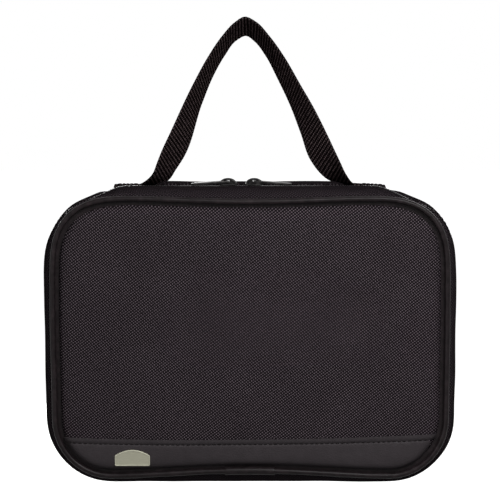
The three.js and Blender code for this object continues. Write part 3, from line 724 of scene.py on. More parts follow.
panel_nylon = nylon("panel_nylon", ("X", "Z"))
panels = {}
for facing, half, body in HALVES:
    panel = pad(half + "_panel_pad", facing, PANEL_BACK, PANEL_RIM, PANEL_LEVEL, PANEL_ROLL)
    swell(panel, PANEL_RIM, PANEL_SWELL)
    pull_into_shape(panel)
    divide(panel, 2)
    ruffle(panel, 48 * MM, 0.8 * MM, none_at=37 * MM, all_at=39 * MM)
    smooth_finish(panel, panel_nylon, "nylon", body, half + "_panel", angle=60)
    panels[half] = panel

# Foot trim
# A strip of grained leatherette laid over the foot of the front panel. Its upper edge is folded under and
# held by one row of black stitches, and its other edges go into the piping seam.

TRIM_TOP = 27.6 * MM
TRIM_THICKNESS = 0.7 * MM
STITCH_DROP = 3.1 * MM
STITCH_PITCH = 3.0 * MM
FACE_DEPTH = -37 * MM

leatherette = new_finish("grained_leatherette", roughness=0.5, specular=0.1)
pebbles = add_node(leatherette, "TexVoronoi", Scale=1 / (0.9 * MM))
wire(leatherette, add_node(leatherette, "TexCoord").outputs["Object"], pebbles.inputs["Vector"])
pores = clouds(leatherette, 0.5 * MM, 3)
grain = reckon(leatherette, "MULTIPLY_ADD", pores, 0.5, pebbles.outputs["Distance"])
leather_shades = ((0.3, 0.0195), (0.5, 0.0215), (0.75, 0.024))
shade(leatherette, clouds(leatherette, 5 * MM, 5), leather_shades, (1, 0.84, 0.92))
roughen(leatherette, grain, 0.25, 0.38)
emboss(leatherette, grain, 0.16 * MM, 0.8)


# Cuts the piece in edit mode level at a height; up is the side, above or below, that counts as its outer one
def cut_level(height, up=1, **settings):
    select_whole()
    bpy.ops.mesh.bisect(plane_co=(0, 0, height), plane_no=(0, 0, up), **settings)


trim = put("front_trim_sheet", panels["front"].data.copy())
edit(trim)
cut_level(TRIM_TOP, clear_outer=True)
for drop in (0.5 * MM, 1.2 * MM, STITCH_DROP - 0.7 * MM, STITCH_DROP, STITCH_DROP + 0.7 * MM):
    cut_level(TRIM_TOP - drop)
pick(trim, "verts", lambda v: v.co.y > -(PANEL_RIM + 0.6 * MM))
delete("VERT")
select_whole()
bpy.ops.mesh.remove_doubles(threshold=2e-5)
leave()


# The folded edge isn't ruled straight: it sags in the middle and climbs to the right
def trim_edge(x):
    t = x / (100 * MM)
    return (0.95 * t + 1.75 * t * t - 0.75) * MM


points = points_of(trim)
below = TRIM_TOP - points[:, 2]
pressed = np.exp(-((below - STITCH_DROP) / (0.55 * MM)) ** 2)
folded = smooth_share((STITCH_DROP - below) / (1.6 * MM))
stand = (TRIM_THICKNESS - 0.42 * MM * pressed + 0.55 * MM * folded)[:, None]
points = points + normals_of(trim) * stand
follow = np.clip((points[:, 2] - 8 * MM) / (TRIM_TOP - 8 * MM), 0, 1)
points[:, 2] += trim_edge(points[:, 0]) * follow
set_points(trim, points)
close_modifier(trim, "SOLIDIFY", thickness=1.6 * TRIM_THICKNESS, offset=-1)
round_edges(trim, 0.5 * MM, 60)
smooth_finish(trim, leatherette, "leatherette", "lid", "front_trim", angle=50)

thread = new_finish("black_thread", roughness=0.6, specular=0)
shade(thread, clouds(thread, 0.5 * MM, 2), ((0.35, 0.004), (0.7, 0.014)), (1, 0.85, 0.9))


# The points and faces of the piece just added, which is then taken away again
def melt():
    piece = bpy.context.object
    points, faces = points_of(piece), [list(p.vertices) for p in piece.data.polygons]
    bpy.data.objects.remove(piece)
    return points, faces


# One piece made of many copies of a small shape, each at its own place and along its own three axes
def copies(name, shape, faces, places):
    all_points, all_faces = [], []
    for point, axes in places:
        start = len(all_points) * len(shape)
        all_points.append(shape @ np.array(axes) + np.array(point))
        all_faces += [[start + k for k in face] for face in faces]
    return put_mesh(name, np.concatenate(all_points).tolist(), [], all_faces)


# A row of stitches, each a small grain of thread lying along the seam
def sew(name, places, length, width, body):
    bpy.ops.mesh.primitive_uv_sphere_add(segments=6, ring_count=5, radius=0.5)
    shape, faces = melt()
    turned = []
    for point, way, up in places:
        way = Vector(way).normalized()
        across = Vector(up).cross(way).normalized()
        turned.append((point, [way, across, way.cross(across)]))
    row = copies(name, shape[:, [2, 0, 1]] * (length, width, width), faces, turned)
    smooth_finish(row, thread, "webbing", body, angle=80)


# The point of a piece's surface below a point, looking along a direction
def land(piece, point, way):
    hit, place, normal, _ = piece.ray_cast(Vector(point) - Vector(way) * 0.05, Vector(way))
    return (place, normal) if hit else (Vector(point), -Vector(way))


trim_stitches = []
for k in range(-34, 35):
    x = k * STITCH_PITCH
    z = TRIM_TOP - STITCH_DROP + trim_edge(x) * 0.86
    if along_outline(np.array([x]), np.array([z]))[2][0] > 9 * MM:
        place, up = land(trim, (x, FACE_DEPTH, z), (0, 1, 0))
        trim_stitches.append((place + up * 0.08 * MM, (1, 0, 0), up))
sew("trim_stitching", trim_stitches, 2.3 * MM, 0.62 * MM, "lid")

# Badge plate
# A small cast plate with an arched top and a thin raised rim, satin brushed in a pale champagne colour. Two
# prongs hold it through the leatherette, and its field is bare.

BADGE_WIDTH = 20.5 * MM
BADGE_SHOULDER = 6.4 * MM
BADGE_HEIGHT = 9.9 * MM
BADGE_X = -68.6 * MM
BADGE_FOOT = 11.2 * MM
BADGE_THICKNESS = 1.1 * MM
BADGE_RIM = 0.75 * MM
BADGE_SINK = 0.25 * MM

bpy.ops.mesh.primitive_plane_add(size=1, rotation=(pi / 2, 0, 0))
badge = settle("badge_casting", (BADGE_WIDTH, BADGE_SHOULDER, 1))
edit(badge)
pick(badge, "edges", lambda e: middle(e).z > BADGE_SHOULDER / 2 - 1e-6)
subdivide(19)
shape = bmesh.from_edit_mesh(badge.data)
for v in shape.verts:
    if v.co.z > 0:
        v.co.z += (BADGE_HEIGHT - BADGE_SHOULDER) * (1 - (2 * v.co.x / BADGE_WIDTH) ** 2)
bmesh.update_edit_mesh(badge.data)
for upper, radius, steps in ((False, 1.0 * MM, 5), (True, 0.5 * MM, 4)):
    pick(badge, "verts", lambda v: (v.co.z > 0) == upper and abs(v.co.x) > BADGE_WIDTH / 2 - 1e-6)
    bpy.ops.mesh.bevel(offset_type="OFFSET", offset=radius, segments=steps, affect="VERTICES")
bpy.ops.mesh.select_mode(type="FACE")
select_whole()
draw_out((0, -BADGE_THICKNESS + BADGE_SINK, 0))
inset(0.12 * MM, 0.18 * MM)
inset(0.15 * MM, 0.07 * MM)
inset(BADGE_RIM - 0.45 * MM)
inset(0.2 * MM, -0.26 * MM)
pick(badge, "edges", lambda e: len(e.link_faces) == 1)
bpy.ops.mesh.edge_face_add()
leave(outwards=True)
heights = (BADGE_FOOT + 1 * MM, BADGE_FOOT + 9 * MM)
seat_low, seat_high = (land(trim, (BADGE_X, FACE_DEPTH, z), (0, 1, 0))[0] for z in heights)
lean = atan2(seat_low.y - seat_high.y, seat_high.z - seat_low.z)
seat = Vector((BADGE_X, (seat_low.y + seat_high.y) / 2 + BADGE_SINK, BADGE_FOOT + BADGE_HEIGHT / 2))
badge.data.transform(Matrix.Translation((0, 0, (BADGE_SHOULDER - BADGE_HEIGHT) / 2)))
badge.data.transform(Matrix.Translation(seat) @ Matrix.Rotation(lean, 4, "X"))


def champagne(name, dark, light):
    finish = new_finish(name, roughness=0.42, metallic=0.3)
    stretch = add_node(finish, "Mapping", Scale=(1 / (5 * MM), 1 / (5 * MM), 1 / (0.18 * MM)))
    wire(finish, add_node(finish, "TexCoord").outputs["Object"], stretch.inputs["Vector"])
    streaks = add_node(finish, "TexNoise", Scale=1, Detail=3)
    wire(finish, stretch.outputs["Vector"], streaks.inputs["Vector"])
    brushed = streaks.outputs["Fac"]
    shade(finish, brushed, ((0.3, dark), (0.75, light)))
    roughen(finish, brushed, 0.25, 0.3)
    emboss(finish, brushed, 0.02 * MM, 0.6)
    return finish


rim_metal = champagne("satin_champagne_metal", (0.28, 0.275, 0.212), (0.375, 0.366, 0.288))
smooth_finish(badge, rim_metal, "badge", "lid", "badge_plate", angle=25)
# The bare field takes a darker copy of the rim's brushed metal: painted shade over the field sunk within the
# raised rim
badge.data.materials.append(champagne("champagne_field", (0.222, 0.217, 0.165), (0.302, 0.296, 0.227)))
fronts = [p for p in badge.data.polygons if p.normal.y < -0.9]
max(fronts, key=lambda p: p.area).material_index = 1

# Stiffening boards
# Plain grey chipboard cut to the outline, between the foam of each panel and the lining, which keeps the
# faces flat. It shows only where the lining is lifted.

chipboard = new_finish("grey_chipboard", roughness=0.85, specular=0.2)
fibres = clouds(chipboard, 1.2 * MM, 6)
shade(chipboard, fibres, ((0.3, 0.16), (0.5, 0.22), (0.7, 0.3)), (1, 0.95, 0.86))
emboss(chipboard, fibres, 0.15 * MM, 0.5)
for node in ("front_board", "rear_board"):
    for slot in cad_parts[node].material_slots:
        slot.material = chipboard

# Linings
# Smooth dark grey nylon taffeta over a thin felt, glued to the inside of each board and tucked under the
# binding round the seam.

LINING_LEVEL = -4.6 * MM
LINING_BACK = -29.95 * MM
LINING_RIM = -29.5 * MM
LINING_ROLL = ((0.3, 0.2), (0.6, 0.12), (2.5, 0.08), (7, 0.05))

taffeta = new_finish("lining_taffeta", roughness=0.5, specular=0.1)
first, second = cloth_ways(taffeta)
rows = wave(taffeta, second, 0.45 * MM)
taffeta_weave = reckon(taffeta, "MULTIPLY", rows, wave(taffeta, first, 0.55 * MM))
mottle = reckon(taffeta, "MULTIPLY_ADD", taffeta_weave, 0.12, clouds(taffeta, 20 * MM, 3))
shade(taffeta, mottle, ((0.25, 0.02), (0.5, 0.032), (0.75, 0.05)), (0.96, 0.98, 1.05))
emboss(taffeta, taffeta_weave, 0.06 * MM, 0.5)
for facing, half, body in HALVES:
    lining = pad(half + "_lining_cloth", -facing, LINING_BACK, LINING_RIM, LINING_LEVEL, LINING_ROLL)
    pull_into_shape(lining)
    divide(lining, 1)
    ruffle(lining, 22 * MM, 0.35 * MM, none_at=29.4 * MM, all_at=29.2 * MM)
    smooth_finish(lining, taffeta, "lining", body, half + "_lining", angle=60)

# Seam bindings
# Folded black tape sewn over the raw edges of the piping seam, all round the inside of each half.

BINDING_NEAR = 25.1 * MM
BINDING_FAR = 28.7 * MM
BINDING_LEVEL = -3.7 * MM
BINDING_WIDTH = 2.6 * MM

binding_tape = new_finish("binding_tape", roughness=0.7, specular=0)
cords = wave(binding_tape, cloth_ways(binding_tape, "U", "V")[0], 0.7 * MM)
painted_relief_light = reckon(binding_tape, "MULTIPLY_ADD", cords, 0.3, 0.5)
# The raised cords are painted lighter and the hollows between them darker: painted highlight and painted
# shade
shade(binding_tape, painted_relief_light, ((0.2, 0.006), (0.6, 0.017), (0.9, 0.03)))
emboss(binding_tape, cords, 0.1 * MM, 0.7)
for facing, half, body in HALVES:
    binding = outline_face(half + "_binding_tape", facing * BINDING_NEAR, BINDING_LEVEL, facing)
    inset(BINDING_WIDTH)
    delete("FACE")
    select_whole()
    draw_out((0, facing * (BINDING_FAR - BINDING_NEAR), 0))
    leave(outwards=True)
    pull_into_shape(binding)
    round_edges(binding, 1.0 * MM, 60)
    ruffle(binding, 6 * MM, 0.2 * MM)
    map_round(binding)
    smooth_finish(binding, binding_tape, "tape", body, half + "_binding", angle=60)

# Zip tapes
# Woven black tape under the folded edge of each gusset, from one side of the cloth hinge right over the top
# to the other, with a row of stitches through gusset and tape.

TAPE_LEVEL = -2.6 * MM
TAPE_EDGE = 0.7 * MM
TAPE_WIDTH = 14.3 * MM
SEAM_INSET = 1.8 * MM
ZIP_START = LOW_X + BOTTOM_CORNER * radians(7.5)

zip_tape = new_finish("zip_tape", roughness=0.7, specular=0)
first, second = cloth_ways(zip_tape, "U", "V")
slant = reckon(zip_tape, "ADD", first, reckon(zip_tape, "PINGPONG", second, 1.2 * MM))
twill = wave(zip_tape, slant, 0.8 * MM)
painted_relief_light = reckon(zip_tape, "MULTIPLY_ADD", twill, 0.35, 0.5)
# The raised twill lines are painted lighter and the hollows between them darker: painted highlight and
# painted shade
shade(zip_tape, painted_relief_light, ((0.15, 0.004), (0.5, 0.012), (0.9, 0.026)))
emboss(zip_tape, twill, 0.1 * MM, 0.7)


def on_zip(co):
    return co.z > BOTTOM_CORNER * 0.6 or abs(co.x) > LOW_X - 0.5 * MM


# The point of the outline a distance along it, beyond the straight of the bottom, with its outward normal
def outline_at(run):
    side = -1 if run < 0 else 1
    along = abs(run)
    if along < SIDE_START:
        a = (along - LOW_X) / BOTTOM_CORNER
        out = Vector((side * sin(a), 0, -cos(a)))
        return Vector((side * LOW_X, 0, LOW_Z)) + out * BOTTOM_CORNER, out
    if along < TURN_START:
        return Vector((side * CASE_WIDTH / 2, 0, LOW_Z + along - SIDE_START)), Vector((side, 0, 0))
    if along < TOP_START:
        a = (along - TURN_START) / TOP_CORNER
        out = Vector((side * cos(a), 0, sin(a)))
        return Vector((side * TOP_X, 0, TOP_Z)) + out * TOP_CORNER, out
    return Vector((side * (HALF_WAY - along), 0, CASE_HEIGHT)), Vector((0, 0, 1))


# Points of the outline at a pitch, from one end of the zip to the other, with their outward normals
def along_zip(pitch, first):
    for k in range(int(2 * (HALF_WAY - ZIP_START) / pitch)):
        run = ZIP_START + (k + first) * pitch
        yield outline_at(run if run < HALF_WAY else run - 2 * HALF_WAY)


for facing, half, body in HALVES:
    tape = outline_face("zip_tape_" + half + "_weave", facing * TAPE_EDGE, TAPE_LEVEL, facing)
    draw_out((0, facing * TAPE_WIDTH, 0), steps=4)
    delete("FACE")
    pick(tape, "verts", lambda v: not on_zip(v.co))
    delete("VERT")
    leave()
    pull_into_shape(tape)
    map_round(tape)
    close_modifier(tape, "SOLIDIFY", thickness=0.6 * MM, offset=0)
    smooth_finish(tape, zip_tape, "tape", body, "zip_tape_" + half)

for facing, half, body in HALVES:
    seam_stitches = []
    for place, out in along_zip(STITCH_PITCH, 0.5):
        place, up = land(walls[half], place + Vector((0, facing * (ZIP_EDGE + SEAM_INSET), 0)), -out)
        seam_stitches.append((place, Vector((0, 1, 0)).cross(out), up))
    sew("zip_seam_stitching_" + half, seam_stitches, 2.2 * MM, 0.55 * MM, body)

# Zip coils and stops
# Moulded black nylon teeth along the edge of each tape, and a crimped metal stop at each lower end.

TOOTH_PITCH = 1.35 * MM
TOOTH_SIZE = (0.64 * MM, 4.1 * MM, 1.7 * MM)
TOOTH_SINK = 1.35 * MM
TOOTH_MIDDLE = 1.15 * MM

coil_nylon = new_finish("coil_nylon", roughness=0.35, specular=0.05)
shade(coil_nylon, clouds(coil_nylon, 1.5 * MM, 2), ((0.3, 0.008), (0.7, 0.022)))
zip_metal = new_finish("black_plated_metal", roughness=0.32, metallic=0.9)
worn = clouds(zip_metal, 2.5 * MM, 5)
shade(zip_metal, worn, ((0.3, 0.012), (0.6, 0.03), (0.85, 0.09)), (1, 0.95, 0.94))
roughen(zip_metal, worn, 0.3, 0.2)

bpy.ops.mesh.primitive_cube_add(size=1)
edit(settle("tooth", TOOTH_SIZE))
bpy.ops.mesh.bevel(offset=0.2 * MM, segments=1)
leave()
tooth_points, tooth_faces = melt()
for facing, half, body in HALVES:
    teeth = []
    way = Vector((0, facing, 0))
    for place, out in along_zip(TOOTH_PITCH, 0.5 if facing == REAR else 0):
        shift = float(corner_fill(np.array(out.x), np.array(out.z)) - shoulder_slump(np.array(out.z)))
        teeth.append((place + out * (shift - TOOTH_SINK) + way * TOOTH_MIDDLE, [way.cross(out), way, out]))
    coil = copies("zip_coil_" + half + "_teeth", tooth_points, tooth_faces, teeth)
    edit(coil)
    leave(outwards=True)
    smooth_finish(coil, coil_nylon, "coil", body, "zip_coil_" + half, angle=30)


# A softened copy of a small rigid CAD piece, with its edges rounded as tumbling leaves them
def softened(node, name, width):
    piece = put(name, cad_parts[node].data.copy())
    edit(piece)
    bpy.ops.mesh.remove_doubles(threshold=1e-6)
    bpy.ops.mesh.dissolve_limited(angle_limit=radians(1))
    leave()
    round_edges(piece, width, 35)
    return piece


for side in ("left", "right"):
    stop = softened("zip_stop_" + side, "zip_stop_" + side + "_crimp", 0.25 * MM)
    smooth_finish(stop, zip_metal, "zip_metal", "rear_half", "zip_stop_" + side, angle=30)

# Sliders and pulls
# Two small die-cast sliders, plated black and rubbed bright along their edges, which meet near the middle of
# the top. Each carries a flat pull on its crown.

PLATE_TOP = 173.42 * MM
CROWN_HALF = 4.15 * MM
CROWN_BAR = 0.95 * MM
CROWN_RISE = 2.7 * MM
CROWN_BREADTH = 1.55
LUG_SIZE = (2.4 * MM, 2 * MM, 2.5 * MM)
PULL_AXIS = 174.5 * MM
PULL_LEAN = radians(4.4)
SLIDER_AT = {"left": -12.9 * MM, "right": 2.5 * MM}

for side, way in (("left", -1), ("right", 1)):
    slider = softened("slider_" + side, "slider_" + side + "_casting", 0.22 * MM)
    edit(slider)
    cut_level(PLATE_TOP - 0.1 * MM, clear_outer=True, use_fill=True)
    leave()
    low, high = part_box("slider_" + side)
    bpy.ops.mesh.primitive_torus_add(
        major_radius=CROWN_HALF,
        minor_radius=CROWN_BAR,
        major_segments=40,
        minor_segments=14,
        location=((low[0] + high[0]) / 2, 0, PLATE_TOP - 0.15 * MM),
        rotation=(pi / 2, 0, 0),
    )
    crown = settle("crown", (1, CROWN_RISE / CROWN_HALF, CROWN_BREADTH))
    edit(crown)
    cut_level(PLATE_TOP - 0.3 * MM, up=-1, clear_outer=True, use_fill=True)
    leave(outwards=True)
    lug_at = (SLIDER_AT[side] - 2 * way * MM, 0, PLATE_TOP + 0.85 * MM)
    bpy.ops.mesh.primitive_cube_add(size=1, location=lug_at)
    lug = settle("lug", LUG_SIZE)
    take(slider)
    crown.select_set(True)
    lug.select_set(True)
    bpy.ops.object.join()
    smooth_finish(slider, zip_metal, "zip_metal", "slider_" + side, "slider_" + side, angle=40)
    pull = softened("pull_" + side, "pull_" + side + "_casting", 0.25 * MM)
    axis = Matrix.Translation((SLIDER_AT[side], 0, PULL_AXIS))
    pull.data.transform(axis @ Matrix.Rotation(PULL_LEAN * way, 4, "Y") @ axis.inverted())
    smooth_finish(pull, zip_metal, "zip_metal", "pull_" + side, "pull_" + side, angle=30)

# Cloth hinge
# A strip of the same nylon along the bottom, sewn to both gussets, on which the lid turns.

HINGE_HALF = 81.2 * MM
HINGE_REACH = 6.8 * MM
HINGE_LEVEL = 1.2 * MM
HINGE_THICKNESS = 1.3 * MM

bpy.ops.mesh.primitive_plane_add(size=1, location=(0, 0, HINGE_LEVEL))
hinge = settle("hinge_cloth", (2 * HINGE_HALF, 2 * HINGE_REACH, 1))
edit(hinge)
pick(hinge, "edges", lambda e: abs(middle(e).x) > HINGE_HALF - 1e-5)
subdivide(15)
pick(hinge, "edges", lambda e: abs((e.verts[0].co - e.verts[1].co).x) > HINGE_HALF)
subdivide(39)
leave()
ruffle(hinge, 14 * MM, 0.5 * MM, none_at=6.5 * MM, all_at=3.5 * MM)
close_modifier(hinge, "SOLIDIFY", thickness=HINGE_THICKNESS, offset=0)
hinge_nylon = nylon("hinge_nylon", ("X", "Y"))
smooth_finish(hinge, hinge_nylon, "nylon", None, "hinge_strip")
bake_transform(hinge)

# Handle
# One length of heavy ribbed webbing. Each end is folded back under itself and sewn to the rear half of the
# gusset with a crossed box, and the loop stands up between them, leaning with the pull of its weave.

STRAP_WIDTH = 22 * MM
STRAP_THICKNESS = 1.3 * MM
STRAP_LEAST_DEPTH = 4 * MM
STRAP_FILES = 26
SEWN_MIDDLE = 18.3 * MM
TOP_MIDDLE = 15 * MM
HANDLE_REACH = 80.5 * MM
LOOP_TOP = 270.6 * MM
RIB_PITCH = 2.2 * MM
RIB_RISE = 0.07 * MM
FILE_PITCH = 1.5 * MM
# From the left cut end over the top of the loop to the right one, in millimetres: X and Z of the strap's
# front edge, and of its rear edge at the same length along the strap
STRAP_EDGES = (
    (-80.5, 170, -80.5, 170),
    (-71, 170, -71, 170),
    (-63.5, 172.5, -63, 170),
    (-57.5, 178, -55, 170),
    (-54.5, 185.5, -48.5, 173),
    (-51.5, 193, -44, 179.5),
    (-48, 200.5, -39.5, 186.5),
    (-33, 232, -28.5, 219),
    (-24.5, 247.5, -22, 235),
    (-16, 260, -15, 247.5),
    (-8.5, 268, -8.5, 256),
    (-3, 271, -2.5, 259),
    (3.5, 268, 3, 255.5),
    (11, 260, 9.5, 247),
    (20, 247.5, 16.5, 233.5),
    (29, 232, 24, 217.5),
    (38, 216.5, 30, 201.5),
    (46, 200.5, 36, 185),
    (53, 185.5, 47, 173),
    (56.5, 178, 54.5, 170.5),
    (61, 172, 61.5, 170.5),
    (71, 170.5, 71, 170),
    (80.5, 169.5, 80.5, 169.5),
)


# How far along a line of points each of them lies
def lengths_along(line):
    return np.concatenate([[0], np.cumsum(np.linalg.norm(np.diff(line, axis=0), axis=1))])


# A smooth curve through a list of points, at a number of even steps
def through(knots, count):
    reach = lengths_along(knots)
    slopes = np.gradient(knots, reach, axis=0)
    at = np.linspace(0, reach[-1], count)
    k = np.clip(np.searchsorted(reach, at, side="right") - 1, 0, len(reach) - 2)
    span = (reach[k + 1] - reach[k])[:, None]
    t = (at - reach[k])[:, None] / span
    near = knots[k] * (1 + 2 * t) + slopes[k] * span * t
    far = knots[k + 1] * (3 - 2 * t) + slopes[k + 1] * span * (t - 1)
    return near * (1 - t) ** 2 + far * t**2


front_x, front_z, rear_x, rear_z = through(np.array(STRAP_EDGES) * MM, 700).T
shift = np.hypot(rear_x - front_x, rear_z - front_z)
half_depth = np.sqrt(np.maximum(STRAP_WIDTH**2 - shift**2, STRAP_LEAST_DEPTH**2)) / 2
up = np.clip((front_z - CASE_HEIGHT) / (LOOP_TOP - CASE_HEIGHT), 0, 1)
deep = SEWN_MIDDLE + (TOP_MIDDLE - SEWN_MIDDLE) * up
front_edge = np.stack([front_x, deep - half_depth, front_z], axis=1)
rear_edge = np.stack([rear_x, deep + half_depth, rear_z], axis=1)
centres = (front_edge + rear_edge) / 2
steps = lengths_along(centres)
lengths = np.arange(0, steps[-1], 0.55 * MM)
sample = lambda values: np.stack([np.interp(lengths, steps, values[:, i]) for i in range(3)], axis=1)
places, acrosses = sample(front_edge), sample(rear_edge - front_edge) / STRAP_WIDTH
outwards = np.cross(np.gradient(sample(centres), axis=0), acrosses)
outwards /= np.linalg.norm(outwards, axis=1, keepdims=True)
sewn_down = np.clip((abs(places[:, 0]) - 62 * MM) / (6 * MM), 0, 1)

shares = 0.5 - 0.5 * np.cos(np.linspace(0, pi, STRAP_FILES + 1))
shares = 0.55 * shares + 0.45 * np.linspace(0, 1, STRAP_FILES + 1)
rows = [(share, 1) for share in shares] + [(share, -1) for share in shares[-2:0:-1]]
ring = len(rows)
points, uvs = [], []
for k, length in enumerate(lengths):
    phase = length / RIB_PITCH * pi
    rib = RIB_RISE * (abs(sin(phase)) ** 0.7 - 0.6) * (1 - 0.75 * sewn_down[k])
    ragged = 0.09 * MM * abs(sin(phase))
    for share, face in rows:
        edge = (1 - abs(2 * share - 1) ** 14) ** 0.5
        across_at = (share - 0.5) * (STRAP_WIDTH + 2 * ragged) + STRAP_WIDTH / 2
        lift_by = face * edge * (STRAP_THICKNESS / 2 + rib)
        points.append(tuple(places[k] + acrosses[k] * across_at + outwards[k] * lift_by))
        uvs.append((share * STRAP_WIDTH, length))
last = (len(lengths) - 1) * ring
faces = []
for start in range(0, last, ring):
    for j in range(ring):
        n = (j + 1) % ring
        faces.append((start + j, start + n, start + ring + n, start + ring + j))
faces.append(tuple(range(ring - 1, -1, -1)))
faces.append(tuple(last + j for j in range(ring)))
strap = put_mesh("handle_webbing", points, [], faces)
edit(strap)
leave(outwards=True)
set_cloth_way(strap.data, np.array(uvs)[read(strap.data.loops, "vertex_index")])

webbing = new_finish("ribbed_webbing", roughness=0.6, specular=0)
first, second = cloth_ways(webbing, "U", "V")
rows = reckon(webbing, "POWER", ribs(webbing, second, RIB_PITCH), 1.6)
files = reckon(webbing, "POWER", ribs(webbing, first, FILE_PITCH), 1.2)
yarns = reckon(webbing, "MULTIPLY", rows, files)
uneven = reckon(webbing, "MULTIPLY_ADD", clouds(webbing, 1.6 * MM, 3), 1.3, 0.35)
webbing_shades = ((0.0, 0.0018), (0.3, 0.0045), (0.6, 0.02), (1.0, 0.085))
# The crossings of ribs and files are painted lighter and the hollows between them near black: painted
# highlight on the raised yarns and painted shade between them, under an uneven tone
shade(webbing, reckon(webbing, "MULTIPLY", yarns, uneven), webbing_shades, (1, 0.72, 0.74))
emboss(webbing, yarns, 0.15 * MM)
handle_nodes = ("handle_end_left", "handle_end_right", "handle_strap")
smooth_finish(strap, webbing, "webbing", None, *handle_nodes, angle=60)

x_out = HANDLE_REACH - 2.2 * MM
x_in = 67 * MM
y_front = SEWN_MIDDLE - STRAP_WIDTH / 2 + 2 * MM
y_back = SEWN_MIDDLE + STRAP_WIDTH / 2 - 2 * MM
corner = [(x_in, y_front), (x_out, y_front), (x_out, y_back), (x_in, y_back)]
runs = [(corner[k], corner[(k + 1) % 4]) for k in range(4)]
runs += [(corner[0], corner[2]), (corner[1], corner[3])]
box_stitches = []
for side in (-1, 1):
    for (xa, ya), (xb, yb) in runs:
        count = max(2, round(hypot(xb - xa, yb - ya) / (2.4 * MM)))
        for k in range(count):
            t = (k + 0.5) / count
            above = (side * (xa + (xb - xa) * t), ya + (yb - ya) * t, 176 * MM)
            place, _ = land(strap, above, (0, 0, -1))
            place += Vector((0, 0, 0.1 * MM))
            box_stitches.append((place, (side * (xb - xa), yb - ya, 0), (0, 0, 1)))
sew("handle_stitching", box_stitches, 2.0 * MM, 0.6 * MM, "rear_half")
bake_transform(strap)

# Mesh pocket
# A pocket of open knitted mesh inside the lid, pleated out at its sides so that it can hold papers, with a
# broad elastic binding along its mouth.

POCKET_HALF = 85 * MM
POCKET_FOOT = 22 * MM
POCKET_TOP = 108 * MM
POCKET_BAND_TOP = 116.3 * MM
POCKET_WALL = -28.8 * MM
POCKET_DEPTH = 7 * MM
POCKET_FILES = 100
POCKET_ROWS = 52


def pocket_stand(x):
    return POCKET_DEPTH * smooth_share((78 * MM - abs(x)) / (7 * MM))


bpy.ops.mesh.primitive_grid_add(
    x_subdivisions=POCKET_FILES, y_subdivisions=POCKET_ROWS, size=1, rotation=(pi / 2, 0, 0)
)
pocket = settle("pocket_net", (2 * POCKET_HALF, POCKET_TOP - POCKET_FOOT, 1))
edit(pocket)
bpy.ops.mesh.poke()
bpy.ops.mesh.tris_convert_to_quads(face_threshold=pi, shape_threshold=pi)
leave()
points = points_of(pocket)
points[:, 2] += (POCKET_TOP + POCKET_FOOT) / 2
lift_up = np.clip((points[:, 2] - POCKET_FOOT) / (16 * MM), 0, 1)
points[:, 1] = POCKET_WALL + 0.4 * MM + pocket_stand(points[:, 0]) * (0.15 + 0.85 * lift_up)
set_points(pocket, points)
close_modifier(pocket, "WIREFRAME", thickness=0.55 * MM, use_replace=True)
net = new_finish("knitted_net", roughness=0.65, specular=0.05)
shade(net, clouds(net, 1.2 * MM, 3), ((0.3, 0.006), (0.7, 0.028)))
emboss(net, clouds(net, 0.3 * MM, 2), 0.05 * MM, 0.6)
smooth_finish(pocket, net, "mesh", "lid", "mesh_pocket", angle=60)

elastic = new_finish("ribbed_elastic", roughness=0.7, specular=0.04)
first, second = cloth_ways(elastic, "X", "Z")
loops_of_yarn = reckon(elastic, "MULTIPLY_ADD", ribs(elastic, second, 1.5 * MM), 0.6, 0.4)
knit = reckon(elastic, "MULTIPLY", ribs(elastic, first, 1.1 * MM), loops_of_yarn)
# The knit's ribs are painted lighter at their crests and darker between them: painted highlight and painted
# shade
shade(elastic, knit, ((0.0, 0.003), (0.5, 0.012), (1.0, 0.034)))
emboss(elastic, knit, 0.2 * MM, 0.8)


# A band of elastic through points of the XY plane, standing up between two heights
def band(name, path, low, high, thickness):
    edges = [(k, k + 1) for k in range(len(path) - 1)]
    strip = put_mesh(name, [(x, y, low) for x, y in path], edges, [])
    edit(strip)
    draw_out((0, 0, high - low), steps=6)
    leave()
    close_modifier(strip, "SOLIDIFY", thickness=thickness, offset=0, use_even_offset=True)
    round_edges(strip, 0.35 * thickness, 57.3, steps=2)
    return strip


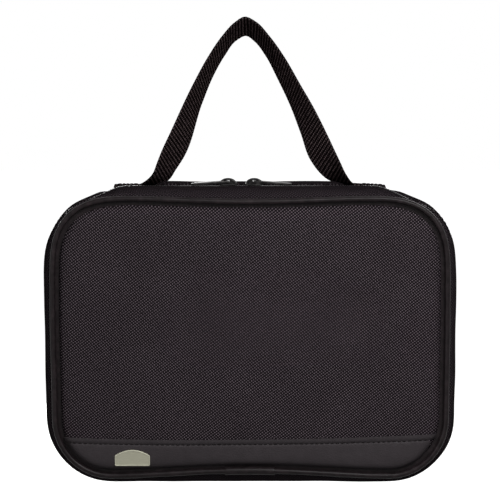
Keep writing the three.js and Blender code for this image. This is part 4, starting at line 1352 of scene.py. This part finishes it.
mouth = [(x, POCKET_WALL + 0.8 * MM + pocket_stand(x)) for x in np.linspace(-POCKET_HALF, POCKET_HALF, 91)]
pocket_edge = band("pocket_elastic", mouth, POCKET_TOP - 0.3 * MM, POCKET_BAND_TOP, 1.6 * MM)
smooth_finish(pocket_edge, elastic, "elastic", "lid", "pocket_binding")

# Elastic loops
# Ribbed elastic stitched to the rear lining at both feet: a broad one for the meter, one for the strip vial
# and two narrow ones for the lancing pen.

# In millimetres: the middle of each loop, its width and how far it stands out
LOOPS = {
    "meter_strap": (-45.5, 58, 20),
    "vial_loop": (20, 28, 26),
    "pen_loop_lower": (63.5, 17, 16),
    "pen_loop_upper": (63.5, 17, 16),
}
LOOP_FOOT = 8
LOOP_WALL = 28.8
LOOP_STITCH = 2.6 * MM
ELASTIC = 1.2


def loop_path(x, width, depth):
    near = LOOP_WALL - ELASTIC / 2
    foot = [(LOOP_FOOT, near), (4, near), (1, near - 0.1)]
    path = [(x - width / 2 - out, y) for out, y in foot]
    for k in range(25):
        a = pi * k / 24
        px = x - copysign(abs(cos(a)) ** 0.55, cos(a)) * (width - ELASTIC) / 2
        path.append((px, near - 0.8 - (depth - ELASTIC - 0.8) * sin(a) ** 0.6))
    path += [(x + width / 2 + out, y) for out, y in reversed(foot)]
    return [(px * MM, py * MM) for px, py in path]


loop_stitches = []
for node, (x, width, depth) in LOOPS.items():
    low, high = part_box(node)
    loop = band(node + "_band", loop_path(x, width, depth), low[2], high[2], ELASTIC * MM)
    smooth_finish(loop, elastic, "elastic", "rear_half", node)
    for foot in (-1, 1):
        x_at = (x + foot * (width / 2 + 0.5 * LOOP_FOOT)) * MM
        for k in range(int((high[2] - low[2]) / LOOP_STITCH)):
            place = (x_at, (LOOP_WALL - ELASTIC - 0.1) * MM, low[2] + (k + 0.7) * LOOP_STITCH)
            loop_stitches.append((place, (0, 0, 1), (0, -1, 0)))
sew("loop_stitching", loop_stitches, 2.0 * MM, 0.6 * MM, "rear_half")
